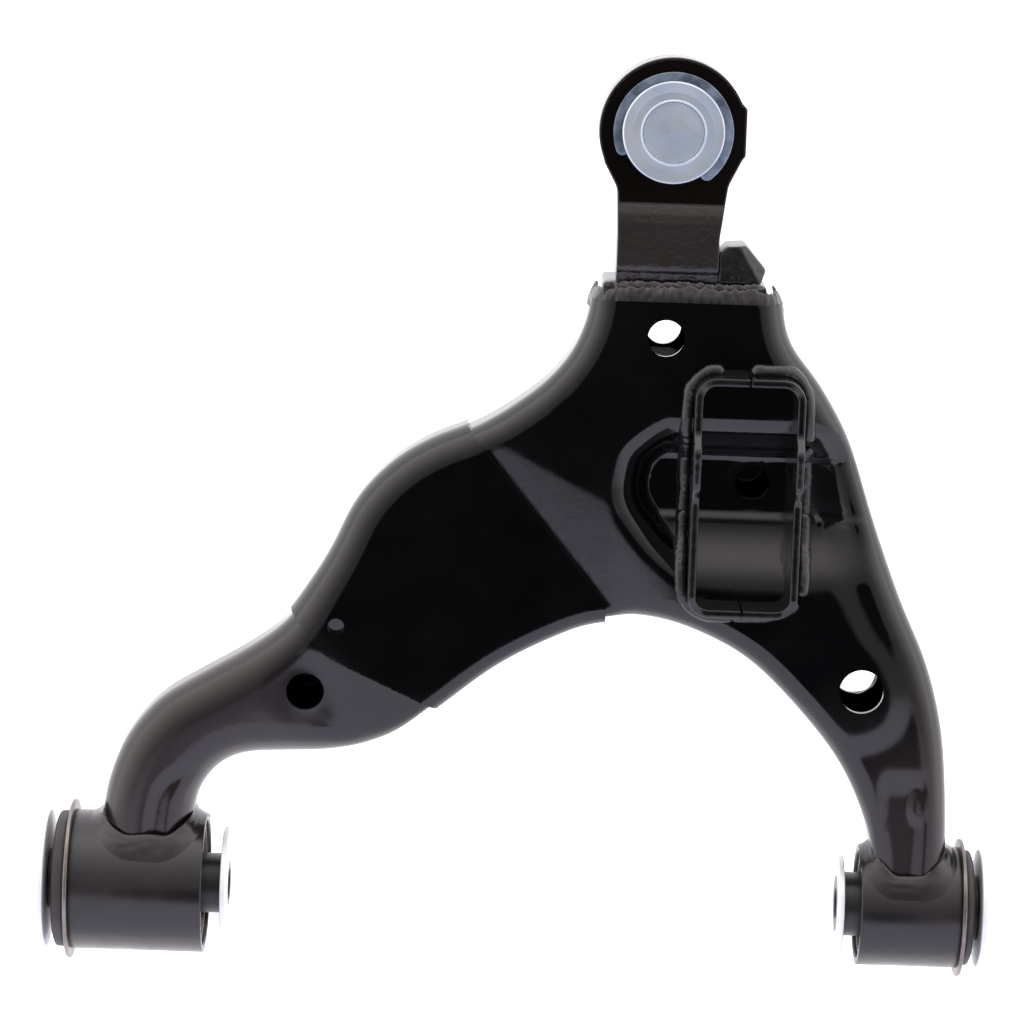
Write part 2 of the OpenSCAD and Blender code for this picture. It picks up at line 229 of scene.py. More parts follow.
def paint(name, dark, light, rough, peel=0.25, grain=0.0, grain_scale=900.0, dull_and_painted_sheen_zones=()):
    """Black dip coat: slow colour drift, uneven gloss, orange peel and cast grain. Along each
    zone, (direction, from, to), the coat turns dull and brown: the dullness is a rougher finish, the brown is painted
    sheen."""
    mat, tree, main = shader(name, dark)
    drift = add_range(tree, add_noise(tree, 14.0, 4.0), 0.0, 1.0)
    colour = add_mix(tree, drift, dark, light)
    gloss = add_range(tree, add_noise(tree, 45.0, 5.0, 0.6), rough[0], rough[1])
    for direction, start, end in dull_and_painted_sheen_zones:
        place = tree.nodes.new("ShaderNodeTexCoord").outputs["Object"]
        along = tree.nodes.new("ShaderNodeVectorMath")
        along.operation = "DOT_PRODUCT"
        along.inputs[1].default_value = direction
        tree.links.new(place, along.inputs[0])
        zone = add_range(tree, along.outputs["Value"], 0.0, 1.0, start, end)
        # Painted sheen: inside the zone the base colour is lifted to a brown that stands in for a brownish highlight.
        painted_sheen_tint = tree.nodes.new("ShaderNodeMix")
        painted_sheen_tint.data_type = "RGBA"
        painted_sheen_tint.inputs["B"].default_value = (0.0075, 0.0058, 0.0054, 1)
        tree.links.new(colour, painted_sheen_tint.inputs["A"])
        tree.links.new(zone, painted_sheen_tint.inputs["Factor"])
        colour = painted_sheen_tint.outputs["Result"]
        dull = tree.nodes.new("ShaderNodeMix")
        dull.inputs["B"].default_value = 0.22
        tree.links.new(gloss, dull.inputs["A"])
        tree.links.new(zone, dull.inputs["Factor"])
        gloss = dull.outputs["Result"]
    tree.links.new(colour, main.inputs["Base Color"])
    tree.links.new(gloss, main.inputs["Roughness"])
    layers = [(add_noise(tree, 260.0, 2.0), 0.05, peel), (add_noise(tree, 40.0, 2.0), 0.25, peel)]
    if grain:
        layers.append((add_noise(tree, grain_scale, 5.0, 0.65), 0.3, grain))
        layers.append((add_noise(tree, grain_scale / 5, 3.0, 0.6), 0.8, grain * 0.7))
    add_bump(tree, main, layers)
    return mat


def plated(name, colour, tint, rough, axis_stretch, brush=0.3, metallic=1.0):
    """Zinc plate or bare steel: fine turning marks, cloudy passivation and small stains."""
    mat, tree, main = shader(name, colour, metallic)
    cloud = add_range(tree, add_noise(tree, 60.0, 5.0, 0.6), 0.0, 1.0)
    tree.links.new(add_mix(tree, cloud, colour, tint), main.inputs["Base Color"])
    gloss = add_range(tree, add_noise(tree, 120.0, 6.0, 0.7), rough[0], rough[1])
    tree.links.new(gloss, main.inputs["Roughness"])
    add_bump(tree, main, [(add_noise(tree, 300.0, 4.0, 0.6, axis_stretch), 0.08, brush)])
    return mat


def rubber_like(name, dark, light, rough):
    mat, tree, main = shader(name, dark)
    bloom = add_range(tree, add_noise(tree, 50.0, 6.0, 0.65), 0.0, 1.0)
    tree.links.new(add_mix(tree, bloom, dark, light), main.inputs["Base Color"])
    gloss = add_range(tree, add_noise(tree, 90.0, 4.0), rough[0], rough[1])
    tree.links.new(gloss, main.inputs["Roughness"])
    add_bump(tree, main, [(add_noise(tree, 1400.0, 3.0), 0.1, 0.35)])
    return mat


# The zones given below make the coat dull and paint a brown sheen, a painted highlight, over those parts.
PAINT = paint("black_dip_coat", (0.0010, 0.0012, 0.0014), (0.0022, 0.0020, 0.0021), (0.06, 0.12),
              dull_and_painted_sheen_zones=[((1.0, 0.8, 0.0), 0.200, 0.150), ((0.25, -1.0, 0.0), -0.035, 0.045)])
SADDLE_PAINT = paint("saddle_coat", (0.0008, 0.0009, 0.0010), (0.0016, 0.0015, 0.0015),
                     (0.06, 0.10), 0.12, dull_and_painted_sheen_zones=[((1.0, 0.8, 0.0), 0.215, 0.150)])
TUBE_PAINT = paint("tube_coat", (0.0050, 0.0048, 0.0066), (0.0120, 0.0092, 0.0088), (0.20, 0.32), 0.3)
WALL_PAINT = paint("bracket_coat", (0.0016, 0.0016, 0.0018), (0.0040, 0.0036, 0.0038),
                   (0.10, 0.22), 0.3)
FORGING = paint("forging_coat", (0.0030, 0.0024, 0.0020), (0.0070, 0.0056, 0.0046), (0.15, 0.22),
                0.3, grain=0.5)
EYE_PAINT = paint("machined_face_coat", (0.0020, 0.0014, 0.0011), (0.0032, 0.0025, 0.002),
                  (0.07, 0.12), 0.10)
WELD = paint("weld_coat", (0.0022, 0.0021, 0.0024), (0.0065, 0.0058, 0.0062), (0.14, 0.26), 0.3,
             grain=0.25, grain_scale=700.0)
HUB = paint("hub_coat", (0.004, 0.004, 0.0042), (0.008, 0.0076, 0.008), (0.30, 0.42))
ZINC = plated("zinc_plate", (0.76, 0.78, 0.78), (0.64, 0.66, 0.67), (0.40, 0.52), (1, 1, 1), 0.2,
              0.3)
BLUE_ZINC = plated("blue_zinc_plate", (0.52, 0.57, 0.59), (0.38, 0.45, 0.53), (0.36, 0.44),
                   (1, 1, 1), 0.03)
SPRING = plated("spring_steel", (0.10, 0.13, 0.17), (0.24, 0.29, 0.36), (0.30, 0.5), (1, 1, 1), 0.3)
STEEL = plated("bare_steel", (0.34, 0.32, 0.30), (0.22, 0.20, 0.18), (0.28, 0.42), (1, 1, 1), 0.2)
FLANGE = plated("flange_steel", (0.13, 0.115, 0.105), (0.24, 0.22, 0.20), (0.28, 0.42), (1, 1, 1), 0.3)
RUBBER = rubber_like("black_rubber", (0.020, 0.0175, 0.0175), (0.032, 0.028, 0.028), (0.5, 0.7))
LINER = rubber_like("acetal", (0.80, 0.77, 0.68), (0.86, 0.84, 0.76), (0.35, 0.5))


# ---------------------------------------------------------------- mesh making

def make(name, verts, faces, material, body, nodes=(), sharp=35.0):
    """A closed piece from millimetre vertices, riding on a body."""
    mesh = bpy.data.meshes.new(name)
    mesh.from_pydata((np.asarray(verts, float) * MM).tolist(), [], [list(f) for f in faces])
    bm = bmesh.new()
    bm.from_mesh(mesh)
    bmesh.ops.remove_doubles(bm, verts=bm.verts, dist=1e-7)
    bmesh.ops.dissolve_degenerate(bm, edges=bm.edges, dist=1e-8)
    bmesh.ops.recalc_face_normals(bm, faces=bm.faces)
    bm.to_mesh(mesh)
    bm.free()
    mesh.shade_smooth()
    mesh.set_sharp_from_angle(angle=math.radians(sharp))
    mesh.materials.append(material)
    obj = bpy.data.objects.new(name, mesh)
    bpy.context.scene.collection.objects.link(obj)
    if body:
        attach(obj, body)
    if nodes:
        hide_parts(*nodes)
    return obj


def rounded(corners, steps=4):
    """Corners (a, b, fillet radius) of a closed outline, each replaced by an arc."""
    out = []
    for i, (a, b, radius) in enumerate(corners):
        p = np.array([a, b], float)
        u = np.array(corners[i - 1][:2], float) - p
        v = np.array(corners[(i + 1) % len(corners)][:2], float) - p
        lu, lv = np.linalg.norm(u), np.linalg.norm(v)
        u, v = u / lu, v / lv
        half = math.acos(max(-1, min(1, float(u @ v)))) / 2
        if not radius or half > 1.55:
            out.append(p)
            continue
        radius = min(radius, 0.48 * min(lu, lv) * math.tan(half))
        centre = p + unit(u + v) * radius / math.sin(half)
        start, end = p + u * radius / math.tan(half) - centre, p + v * radius / math.tan(half) - centre
        a0 = math.atan2(start[1], start[0])
        turn = (math.atan2(end[1], end[0]) - a0 + math.pi) % (2 * math.pi) - math.pi
        for k in range(steps + 1):
            at = a0 + turn * k / steps
            out.append(centre + radius * np.array([math.cos(at), math.sin(at)]))
    return np.array(out)


def lathe(name, profile, centre, axis, material, body, nodes=(), segments=144):
    """Turns a closed outline (along, radius) about an axis through centre."""
    profile = np.asarray(profile, float)
    n = len(profile)
    turn = np.linspace(0, 2 * math.pi, segments, endpoint=False)[:, None]
    along = np.broadcast_to(profile[:, 0], (segments, n))
    across, up = profile[:, 1] * np.cos(turn), profile[:, 1] * np.sin(turn)
    local = (along, across, up) if axis == "X" else (across, up, along)
    verts = np.stack(local, -1).reshape(-1, 3) + np.asarray(centre)
    faces = []
    for i in range(n):
        j = (i + 1) % n
        if max(profile[i][1], profile[j][1]) > 1e-6:
            for k in range(segments):
                here, there = k * n, (k + 1) % segments * n
                faces.append([here + i, here + j, there + j, there + i])
    return make(name, verts, faces, material, body, nodes, 32)


def vertex_normals(verts, faces):
    out = np.zeros_like(verts)
    for size in (3, 4):
        f = np.array([q for q in faces if len(q) == size])
        if len(f):
            p = verts[f]
            n = np.cross(p[:, 2] - p[:, 0], p[:, -1] - p[:, 1]) if size == 4 else \
                np.cross(p[:, 1] - p[:, 0], p[:, 2] - p[:, 0])
            for k in range(size):
                np.add.at(out, f[:, k], n)
    length = np.linalg.norm(out, axis=1)
    length[length == 0] = 1
    return out / length[:, None]


def thicken(verts, faces, depth):
    """A closed plate from an open sheet: the sheet, a copy depth below it, and the rim."""
    verts = np.asarray(verts, float)
    below = verts - vertex_normals(verts, faces) * depth
    n = len(verts)
    count = {}
    for f in faces:
        for a, b in zip(f, f[1:] + f[:1]):
            count[(a, b)] = 1
    rim = [[b, a, a + n, b + n] for (a, b) in count if (b, a) not in count]
    return np.vstack([verts, below]), faces + [[v + n for v in reversed(f)] for f in faces] + rim


def triangulate(loop, holes, step, extra=()):
    """Triangles over a plan outline with round holes: points (loop first), faces, hole rings."""
    loop = np.asarray(loop, float)
    points, edges = [loop], [(i, (i + 1) % len(loop)) for i in range(len(loop))]
    total = len(loop)
    for (hx, hy), radius in holes:
        n = max(24, int(2 * math.pi * radius / min(step, 1.6)))
        for k, grow in enumerate((0.0, 0.7, 1.7, 3.0)):
            at = np.linspace(0, 2 * math.pi, n, endpoint=False) + k * math.pi / n
            ring = np.stack([hx + (radius + grow) * np.cos(at), hy + (radius + grow) * np.sin(at)], 1)
            points.append(ring)
            if k == 0:
                edges += [(total + i, total + (i + 1) % n) for i in range(n)]
            total += n
    low, high = loop.min(0), loop.max(0)
    rows = np.arange(low[1], high[1], step * 0.866)
    grid = np.array([(x + (k % 2) * step / 2, y) for k, y in enumerate(rows)
                     for x in np.arange(low[0], high[0], step)])
    keep = inside(grid[:, 0], grid[:, 1], loop)
    keep &= path_distance(grid[:, 0], grid[:, 1], np.vstack([loop, loop[:1]]))[0] > 0.6 * step
    for (hx, hy), radius in holes:
        keep &= np.hypot(grid[:, 0] - hx, grid[:, 1] - hy) > radius + 3.0 + 0.5 * step
    points.append(grid[keep])
    flat = np.vstack(points)
    got = delaunay_2d_cdt([Vector(p) for p in flat], edges, [], 0, 1e-5)
    plan = np.array([tuple(v) for v in got[0]])
    source = [ids[0] if ids else -1 for ids in got[3]]
    tri = np.array([list(f) for f in got[2]])
    middle = plan[tri].mean(1)
    keep = inside(middle[:, 0], middle[:, 1], loop)
    for (hx, hy), radius in holes:
        keep &= np.hypot(middle[:, 0] - hx, middle[:, 1] - hy) > radius * 0.995
    order = {s: i for i, s in enumerate(source)}
    loop_ids = [order[i] for i in range(len(loop))]
    return plan, tri[keep], loop_ids


# ---------------------------------------------------------------- the arm's outline and surface

REAR_EDGE = [[224, 326], [224, 312], [221, 298], [214, 283], [201, 268], [181, 253], [165, 244],
             [150, 238], [133, 228], [119, 215], [109, 201], [100, 181], [89, 162], [75, 142],
             [56, 127], [31, 112], [11, 99], [-4, 81], [-13, 60], [-17, 38], [-17, 8]]
ARCH_EDGE = [[29, 8], [30, 44], [39, 62], [53, 71], [75, 73], [100, 75], [128, 84], [152, 103],
             [181, 126], [210, 142], [232, 150], [260, 151], [286, 144], [312, 130], [338, 105],
             [359, 79], [372, 53], [378, 32], [379, 6]]
FRONT_EDGE = [[416, 6], [416, 33], [414, 70], [410, 101], [401, 132], [386, 165], [371, 204],
              [357, 244], [341, 272], [325, 293], [320, 314], [320, 326]]

RUNS = [smooth_run(p) for p in (REAR_EDGE, ARCH_EDGE, FRONT_EDGE)]
OUTLINE = np.vstack(RUNS)


def bend_radius(x, y):
    """Radius of the rounded edge between roof and skirt, which grows along the rear leg."""
    rear_leg = ramp(y, 190, 120) * ramp(x, 130, 60)
    arch = ramp(path_distance(x, y, RUNS[1])[0], 8, 0)
    under_saddle = ramp(x, 120, 150) * ramp(x, 252, 238)
    return 13.0 + 5.0 * rear_leg - arch * (2.0 * (1 - rear_leg) + 5.7 * under_saddle)


DRAIN_A, DRAIN_B = ((262, 295), 9.2), ((368, 118), 11.2)
LEG_HOLE, POCKET_HOLE = ((86, 108), 9.6), ((309, 221), 8.8)
SADDLE_HOLE = ((101, 143), 4.2)

RIDGE = np.array([[163.0, 250.0], [236.0, 213.0]])       # where the roof starts to fall rearwards
SADDLE_FRONT = np.array([[163.0, 248.0], [237.0, 158.0]])
SADDLE_REAR = np.array([[97.5, 126.0], [151.0, 101.5]])
SADDLE_CORNER = np.array([[74.5, 152.0], [97.5, 126.0]])
FRONT_STEP = catmull([(346, 196), (358, 168), (369, 147), (381, 132), (388, 115), (384, 98),
                      (369, 90), (354, 93), (338, 108)], 5)
REAR_GROOVE = catmull([(27.5, 68.5), (23, 63), (17.5, 57), (14, 51), (12, 42), (11, 33), (11, 20)], 5)


def rear_fall(x, y):
    """How far the roof has dropped behind the ridge; constant beyond the saddle plate's edge."""
    along = unit(SADDLE_FRONT[1] - SADDLE_FRONT[0])
    back = np.array([along[1], -along[0]])
    beyond = (x - SADDLE_FRONT[0][0]) * back[0] + (y - SADDLE_FRONT[0][1]) * back[1]
    move = np.maximum(beyond + 1.2, 0)
    qx, qy = x - move * back[0], y - move * back[1]
    line = unit(RIDGE[1] - RIDGE[0])
    out = (qx - RIDGE[0][0]) * line[1] - (qy - RIDGE[0][1]) * line[0]
    soft = 3.0
    out = np.where(out < -soft, 0, np.where(out > soft, out, (out + soft) ** 2 / (4 * soft)))
    return np.minimum(out, 60) * math.tan(math.radians(5.0)) * ramp(qx, 306, 236)


TROUGH_DEPTH = 16.4
TROUGH_LEFT = catmull([(290, 266), (264, 256.5), (250.5, 248.5), (241.5, 239.5), (238, 230), (236.5, 216),
                       (240, 203), (249, 190), (260, 178.5), (280, 164)], 6)
# Section of the trough along Y: depth below the roof at each place
TROUGH_SECTION = catmull([(156, 0), (164, 0.3), (170, 0.9), (174, 1.7), (178, 3.3), (182, 5.6),
                          (186, 8.1), (190, 10.4), (194, 12.2), (198, 13.3), (203.5, 13.9),
                          (204.7, 14.5), (206.2, 16.4), (221, 16.4), (231.8, 16.4), (233, 16.2),
                          (234, 15.6), (241, 9.3), (248, 3.0), (249.5, 2.0), (251.5, 1.0),
                          (253.5, 0.35), (255.5, 0.05), (257.5, 0)], 6)


def trough(x, y):
    """Depth of the trough pressed under the shock absorber."""
    across = np.interp(y, TROUGH_SECTION[:, 0], TROUGH_SECTION[:, 1])
    d, side = path_distance(x, y, TROUGH_LEFT)
    left = TROUGH_DEPTH * np.clip((d * side + 2) / 21, 0, 1) ** 2.6
    gap = np.clip((left - across) / 2.4, -1, 1)
    lowest = np.minimum(left, across) - 0.6 * (1 - np.abs(gap)) ** 2 * np.minimum(left, across) / 15
    return np.maximum(lowest, 0) * (1 - 0.72 * ramp(x, 334, 376))


def roof(x, y, plug=True):
    """Height of the upper shell's top surface away from its rounded edges."""
    x, y = np.asarray(x, float), np.asarray(y, float)
    z = np.full(x.shape, ROOF_Z)
    z = z - 0.35 * ramp(y, 280, 269) * ramp(y, 232, 262) * ramp(x, 205, 215) * ramp(x, 290, 275)
    z = z - rear_fall(x, y)
    z = z - trough(x, y)
    d, side = path_distance(x, y, FRONT_STEP)
    region = ramp(x, 325, 345) * ramp(y, 215, 190)
    z = z - 1.3 * ramp(np.where(side > 0, d, -d), -8, 8) * region
    leg = ramp(x + 0.8 * y, 175, 130)
    across = path_distance(x, y, RUNS[0])[0]
    z = z - 0.0022 * (across - 20) ** 2 * leg * ramp(across, 3, 9)
    d = path_distance(x, y, REAR_GROOVE)[0]
    z = z - 2.6 * ramp(d, 6.5, 0.0) * ramp(y, 70, 60) * ramp(y, 18, 28)
    r = np.hypot(x - LEG_HOLE[0][0], y - LEG_HOLE[0][1])
    z = z - 0.5 * ramp(r, 24, 10)
    r = np.hypot(x - SADDLE_HOLE[0][0], y - SADDLE_HOLE[0][1])
    if plug:
        z = z + 0.13 * (y - SADDLE_HOLE[0][1]) * ramp(r, 6.5, 5.0)
    line = unit(SADDLE_REAR[1] - SADDLE_REAR[0])
    beyond = (x - SADDLE_REAR[0][0]) * line[1] - (y - SADDLE_REAR[0][1]) * line[0]
    z = z - 0.075 * np.clip(beyond, 0, 32) * ramp(x, 76, 104) * ramp(x, 165, 150)
    r = np.hypot(x - POCKET_HOLE[0][0], y - POCKET_HOLE[0][1])
    z = z - 0.25 * ramp(r, 16, 9.5)
    channel = np.abs(x - (391 + 0.035 * (y - 45)))
    z = z - 1.7 * ramp(channel, 14, 7) * ramp(y, 80, 62)
    z = z + 1.0 * ramp(np.hypot((x - 399) / 4.5, (y - 58) / 10), 1.1, 0.5)
    r = np.hypot(x - DRAIN_A[0][0], y - DRAIN_A[0][1])
    z = z - 0.12 * ramp(r, 12, 9)
    return z


def belly(x, y):
    """Depth of the lower shell's outer surface below the middle plane, away from its edges."""
    x, y = np.asarray(x, float), np.asarray(y, float)
    z = np.full(x.shape, -BELLY_Z)
    inner = path_distance(x, y, OUTLINE)[0]
    z = z - 3.0 * ramp(inner, 24, 32) * ramp(y, 285, 270)
    d = path_distance(x, y, REAR_GROOVE)[0]
    z = z - 3.0 * ramp(d, 7, 1) * ramp(y, 72, 60)
    channel = np.abs(x - 392)
    return z - 2.5 * ramp(channel, 12, 8) * ramp(y, 78, 66)


def edge_drop(d, radius):
    """How far the rounded edge has fallen at distance d inside the outline."""
    inset = np.clip(d, 0, radius)
    return radius - np.sqrt(np.maximum(radius ** 2 - (radius - inset) ** 2, 0))


def arm_height(x, y, grow=0.0):
    """Full top surface including the rounded edges, at given plan points."""
    x, y = np.asarray(x, float), np.asarray(y, float)
    d = np.minimum.reduce([path_distance(x, y, run)[0] for run in RUNS])
    index = [int(np.argmin(np.hypot(OUTLINE[:, 0] - px, OUTLINE[:, 1] - py)))
             for px, py in zip(x.ravel(), y.ravel())]
    near = OUTLINE[index].reshape(x.shape + (2,))
    radius = bend_radius(near[..., 0], near[..., 1])
    return roof(x, y) + grow - edge_drop(d + grow, radius + grow)


def pressed(surface, skirt_z, holes, step, grow=0.0, inset=0.0, radius_cut=0.0):
    """An open pressed sheet over the arm's outline: roof, rounded edges and skirts."""
    theta = np.radians([0, 12, 24, 36, 48, 60, 70, 79, 90])
    skirt_rows = 4
    verts, faces, loop, loop_ids = [], [], [], []
    for run in RUNS:
        run = resample(run, step)
        normal = left_normals(run)
        radius = bend_radius(run[:, 0], run[:, 1]) + grow - inset - radius_cut
        base = run + normal * (inset - grow)
        rows = []
        for t in theta:
            plan = base + normal * (radius * (1 - math.cos(t)))[:, None]
            z = surface(plan[:, 0], plan[:, 1]) + grow - radius * (1 - math.sin(t))
            rows.append(np.column_stack([plan, z]))
        wall = [np.column_stack([base, skirt_z + (rows[0][:, 2] - skirt_z) * k / skirt_rows])
                for k in range(skirt_rows)]
        rows = wall + rows
        start, n = sum(len(v) for v in verts), len(run)
        verts.extend(rows)
        for k in range(len(rows) - 1):
            for i in range(n - 1):
                a = start + k * n + i
                faces.append([a, a + 1, a + 1 + n, a + n])
        loop.append(rows[-1][:, :2])
        loop_ids += list(range(start + (len(rows) - 1) * n, start + len(rows) * n))
    verts = np.vstack(verts)
    plan, tri, ring_ids = triangulate(np.vstack(loop), holes, step)
    z = surface(plan[:, 0], plan[:, 1]) + grow
    offset = len(verts)
    renamed = {ring: own for ring, own in zip(ring_ids, loop_ids)}
    faces += [[renamed.get(v, v + offset) for v in f] for f in tri.tolist()]
    return np.vstack([verts, np.column_stack([plan, z])]), faces


def trim(verts, faces, limit_y):
    """Cuts a sheet along y = limit_y(x, z) and snaps the ragged edge onto it.
    limit_y gives (lowest y, highest y) for each vertex."""
    verts = verts.copy()
    low, high = limit_y(verts[:, 0], verts[:, 2])
    out = (verts[:, 1] < low) | (verts[:, 1] > high)
    faces = [f for f in faces if not all(out[v] for v in f)]
    verts[:, 1] = np.clip(verts[:, 1], low, high)
    used = sorted({v for f in faces for v in f})
    index = {v: i for i, v in enumerate(used)}
    return verts[used], [[index[v] for v in f] for f in faces]


def shell_ends(x, z):
    """The shells stop on the two bush housings and at the forged collar."""
    tube = np.where(x < 200, REAR_TUBE_R, FRONT_TUBE_R) - 0.8
    low = np.sqrt(np.maximum(tube ** 2 - z ** 2, 0))
    return low, np.full(x.shape, NECK_Y)


def shells():
    verts, faces = pressed(roof, SKIRT_Z, [DRAIN_A, DRAIN_B, LEG_HOLE, POCKET_HOLE], 1.7)
    verts, faces = trim(verts, faces, shell_ends)
    verts, faces = thicken(verts, faces, SHEET_T)
    make("upper_shell_skin", verts, faces, PAINT, "control_arm", ["upper_shell"], 50)
    verts, faces = pressed(belly, -9.0, [DRAIN_A, DRAIN_B], 2.6, inset=SHEET_T)
    verts, faces = trim(verts, faces, shell_ends)
    verts, faces = thicken(verts, faces, SHEET_T)
    verts[:, 2] *= -1
    make("lower_shell_skin", verts, faces, PAINT, "control_arm", ["lower_shell"], 50)


shells()


# ---------------------------------------------------------------- solids with rounded edges

def rounded_solid(outline, top, bottom, fillet, holes=(), step=1.6, wall_rows=3):
    """A solid over a closed outline (counterclockwise) in (a, b), between the surfaces top(a, b)
    and bottom(a, b), with filleted edges and straight round holes."""
    base = resample(np.vstack([outline, outline[:1]]), step)[:-1]
    around = np.vstack([base[-1:], base, base[:1]])
    normal = left_normals(around)[1:-1]
    rows = []
    for surface, sign in ((bottom, -1), (top, 1)):
        edge = []
        for t in np.radians([0, 30, 60, 90]):
            plan = base + normal * (fillet * (1 - math.cos(t)))
            z = surface(plan[:, 0], plan[:, 1]) - sign * fillet * (1 - math.sin(t))
            edge.append(np.column_stack([plan, z]))
        rows.append(edge)
    low, high = rows[0][0], rows[1][0]
    wall = [low + (high - low) * k / wall_rows for k in range(1, wall_rows)]
    rows = rows[0][::-1] + wall + rows[1]
    n = len(base)
    verts, faces = np.vstack(rows), []
    for k in range(len(rows) - 1):
        faces += [[k * n + i, k * n + (i + 1) % n, (k + 1) * n + (i + 1) % n, (k + 1) * n + i]
                  for i in range(n)]
    plan, tri, ring = triangulate(rows[-1][:, :2], holes, step)
    for surface, row, flip in ((bottom, 0, True), (top, len(rows) - 1, False)):
        offset = len(verts)
        own = {v: row * n + i for i, v in enumerate(ring)}
        z = surface(plan[:, 0], plan[:, 1])
        verts = np.vstack([verts, np.column_stack([plan, z])])
        cap = [[own.get(v, v + offset) for v in f] for f in tri.tolist()]
        faces += [f[::-1] for f in cap] if flip else cap
    half = len(plan)
    first = len(verts) - 2 * half
    for centre, radius in holes:
        rim = [i for i, p in enumerate(plan) if abs(np.hypot(*(p - centre)) - radius) < 1e-3]
        rim.sort(key=lambda i: math.atan2(plan[i][1] - centre[1], plan[i][0] - centre[0]))
        for i, j in zip(rim, rim[1:] + rim[:1]):
            faces.append([first + i, first + j, first + half + j, first + half + i])
    return verts, faces


def second_material(obj, material, chosen):
    """Gives another material to the faces whose middle, in millimetres, is chosen."""
    obj.data.materials.append(material)
    for face in obj.data.polygons:
        if chosen(np.array(face.center) / MM, face.normal):
            face.material_index = 1


# ---------------------------------------------------------------- welds

def weld_bead(name, path, ups, width, height, pitch, seed, rough=0.12, ripple=0.14):
    """A laid bead along a path: half-round, with crescent ripples and rounded ends."""
    path = np.asarray(path, float)
    ups = np.asarray(ups, float)
    joined = resample(np.hstack([path, ups]), 0.55)
    path, ups = joined[:, :3], joined[:, 3:]
    tangent = np.gradient(path, axis=0)
    tangent /= np.linalg.norm(tangent, axis=1)[:, None]
    side = np.cross(tangent, ups)
    side /= np.linalg.norm(side, axis=1)[:, None]
    ups = np.cross(side, tangent)
    run = np.concatenate([[0], np.cumsum(np.linalg.norm(np.diff(path, axis=0), axis=1))])
    to_end = np.minimum(run, run[-1] - run) / (width * 0.5)
    close = np.sqrt(1 - (1 - np.clip(to_end, 0.02, 1)) ** 2)
    turn = np.linspace(0, 2 * math.pi, 22, endpoint=False)
    verts = []
    for i, (p, s, u) in enumerate(zip(path, side, ups)):
        drift = noise.noise(Vector((run[i] * 0.11, seed * 7.3, 0.0)))
        wide = width * 0.5 * close[i] * (1 + 0.22 * drift)
        for t in turn:
            x, y = math.cos(t), math.sin(t)
            phase = (run[i] / pitch - 0.45 * x * x + 0.25 * drift) % 1.0
            lift = 1 + 0.22 * drift - ripple * phase ** 1.6
            grit = 1 + rough * noise.noise(Vector((run[i] * 0.42, x * 1.3, seed * 3.1 + y)))
            tall = (height if y > 0 else height * 0.8) * close[i] * lift * grit
            verts.append(p + s * (x * wide * grit) + u * (y * tall))
    n = len(turn)
    faces = [[k * n + i, k * n + (i + 1) % n, (k + 1) * n + (i + 1) % n, (k + 1) * n + i]
             for k in range(len(path) - 1) for i in range(n)]
    faces += [list(range(n))[::-1], [(len(path) - 1) * n + i for i in range(n)]]
    return make(name, verts, faces, WELD, "control_arm", (), 60)


def on_arm(points, sink=0.0):
    """Plan points put on the upper shell, with the surface's normals."""
    p = resample(np.asarray(points, float), 1.2)
    x, y = p[:, 0], p[:, 1]
    z = arm_height(x, y)
    dx = (arm_height(x + 0.6, y) - arm_height(x - 0.6, y)) / 1.2
    dy = (arm_height(x, y + 0.6) - arm_height(x, y - 0.6)) / 1.2
    up = np.column_stack([-dx, -dy, np.ones_like(x)])
    up /= np.linalg.norm(up, axis=1)[:, None]
    return np.column_stack([x, y, z - sink]), up


# ---------------------------------------------------------------- saddle plate

def saddle():
    verts, faces = pressed(lambda x, y: roof(x, y, False), SADDLE_Z, [SADDLE_HOLE], 1.7, grow=SADDLE_T)
    bm = bmesh.new()
    made = [bm.verts.new(v) for v in verts]
    for f in faces:
        bm.faces.new([made[i] for i in f])
    cuts = [(SADDLE_REAR, 1), (SADDLE_CORNER, 1), (SADDLE_FRONT, -1), (np.array([[237.0, 200.0], [237.0, 140.0]]), -1)]
    for (a, b), keep in cuts:
        d = unit(b - a)
        out = Vector((d[1], -d[0], 0)) * keep
        bmesh.ops.bisect_plane(bm, geom=bm.verts[:] + bm.edges[:] + bm.faces[:], dist=1e-4,
                               plane_co=(a[0], a[1], 0), plane_no=out, clear_outer=True)
    bmesh.ops.triangulate(bm, faces=bm.faces[:])
    bm.verts.index_update()
    verts = np.array([tuple(v.co) for v in bm.verts])
    faces = [[v.index for v in f.verts] for f in bm.faces]
    bm.free()
    verts, faces = thicken(verts, faces, SADDLE_T - 0.05)
    make("saddle_plate_skin", verts, faces, SADDLE_PAINT, "control_arm", ["saddle_plate"],
         40)


saddle()


# ---------------------------------------------------------------- forged holder and stop

EYE_TOP = box_mm("snap_ring")[0][2]
EYE_BOTTOM = EYE_TOP - 30.0
EYE_R = 37.0
BORE_R = 25.5
MACHINED_Y = 361.0


def neck_top(x, y):
    """Top of the forging: machined eye, bend, rough neck, step and collar."""
    z = np.interp(y, [300, 305, 316, 321, 322, 326.5, 327.5, 329, 331, 352, 356, 360.5, MACHINED_Y, 440],
                  [22, 22, 21.8, 21.6, 18.0, 18.5, 19.5, 20.2, 20.4, 18.9, 18.2, 16.4, EYE_TOP,
                   EYE_TOP])
    rough = ramp(y, MACHINED_Y + 0.5, MACHINED_Y - 5)
    grit = np.array([noise.noise(Vector((a * 0.5, b * 0.5, 1.7))) * 0.6
                     + noise.noise(Vector((a * 1.3, b * 1.3, 4.2))) * 0.4
                     for a, b in zip(np.ravel(x), np.ravel(y))]).reshape(np.shape(x))
    coarse = 1 + 2.2 * ramp(y, 328, 324)
    return z + grit * 0.17 * rough * coarse


def neck_bottom(x, y):
    return np.interp(y, [300, 316, 322, 323, 345, 440],
                     [-22, -21.8, -21.6, -18, EYE_BOTTOM, EYE_BOTTOM])


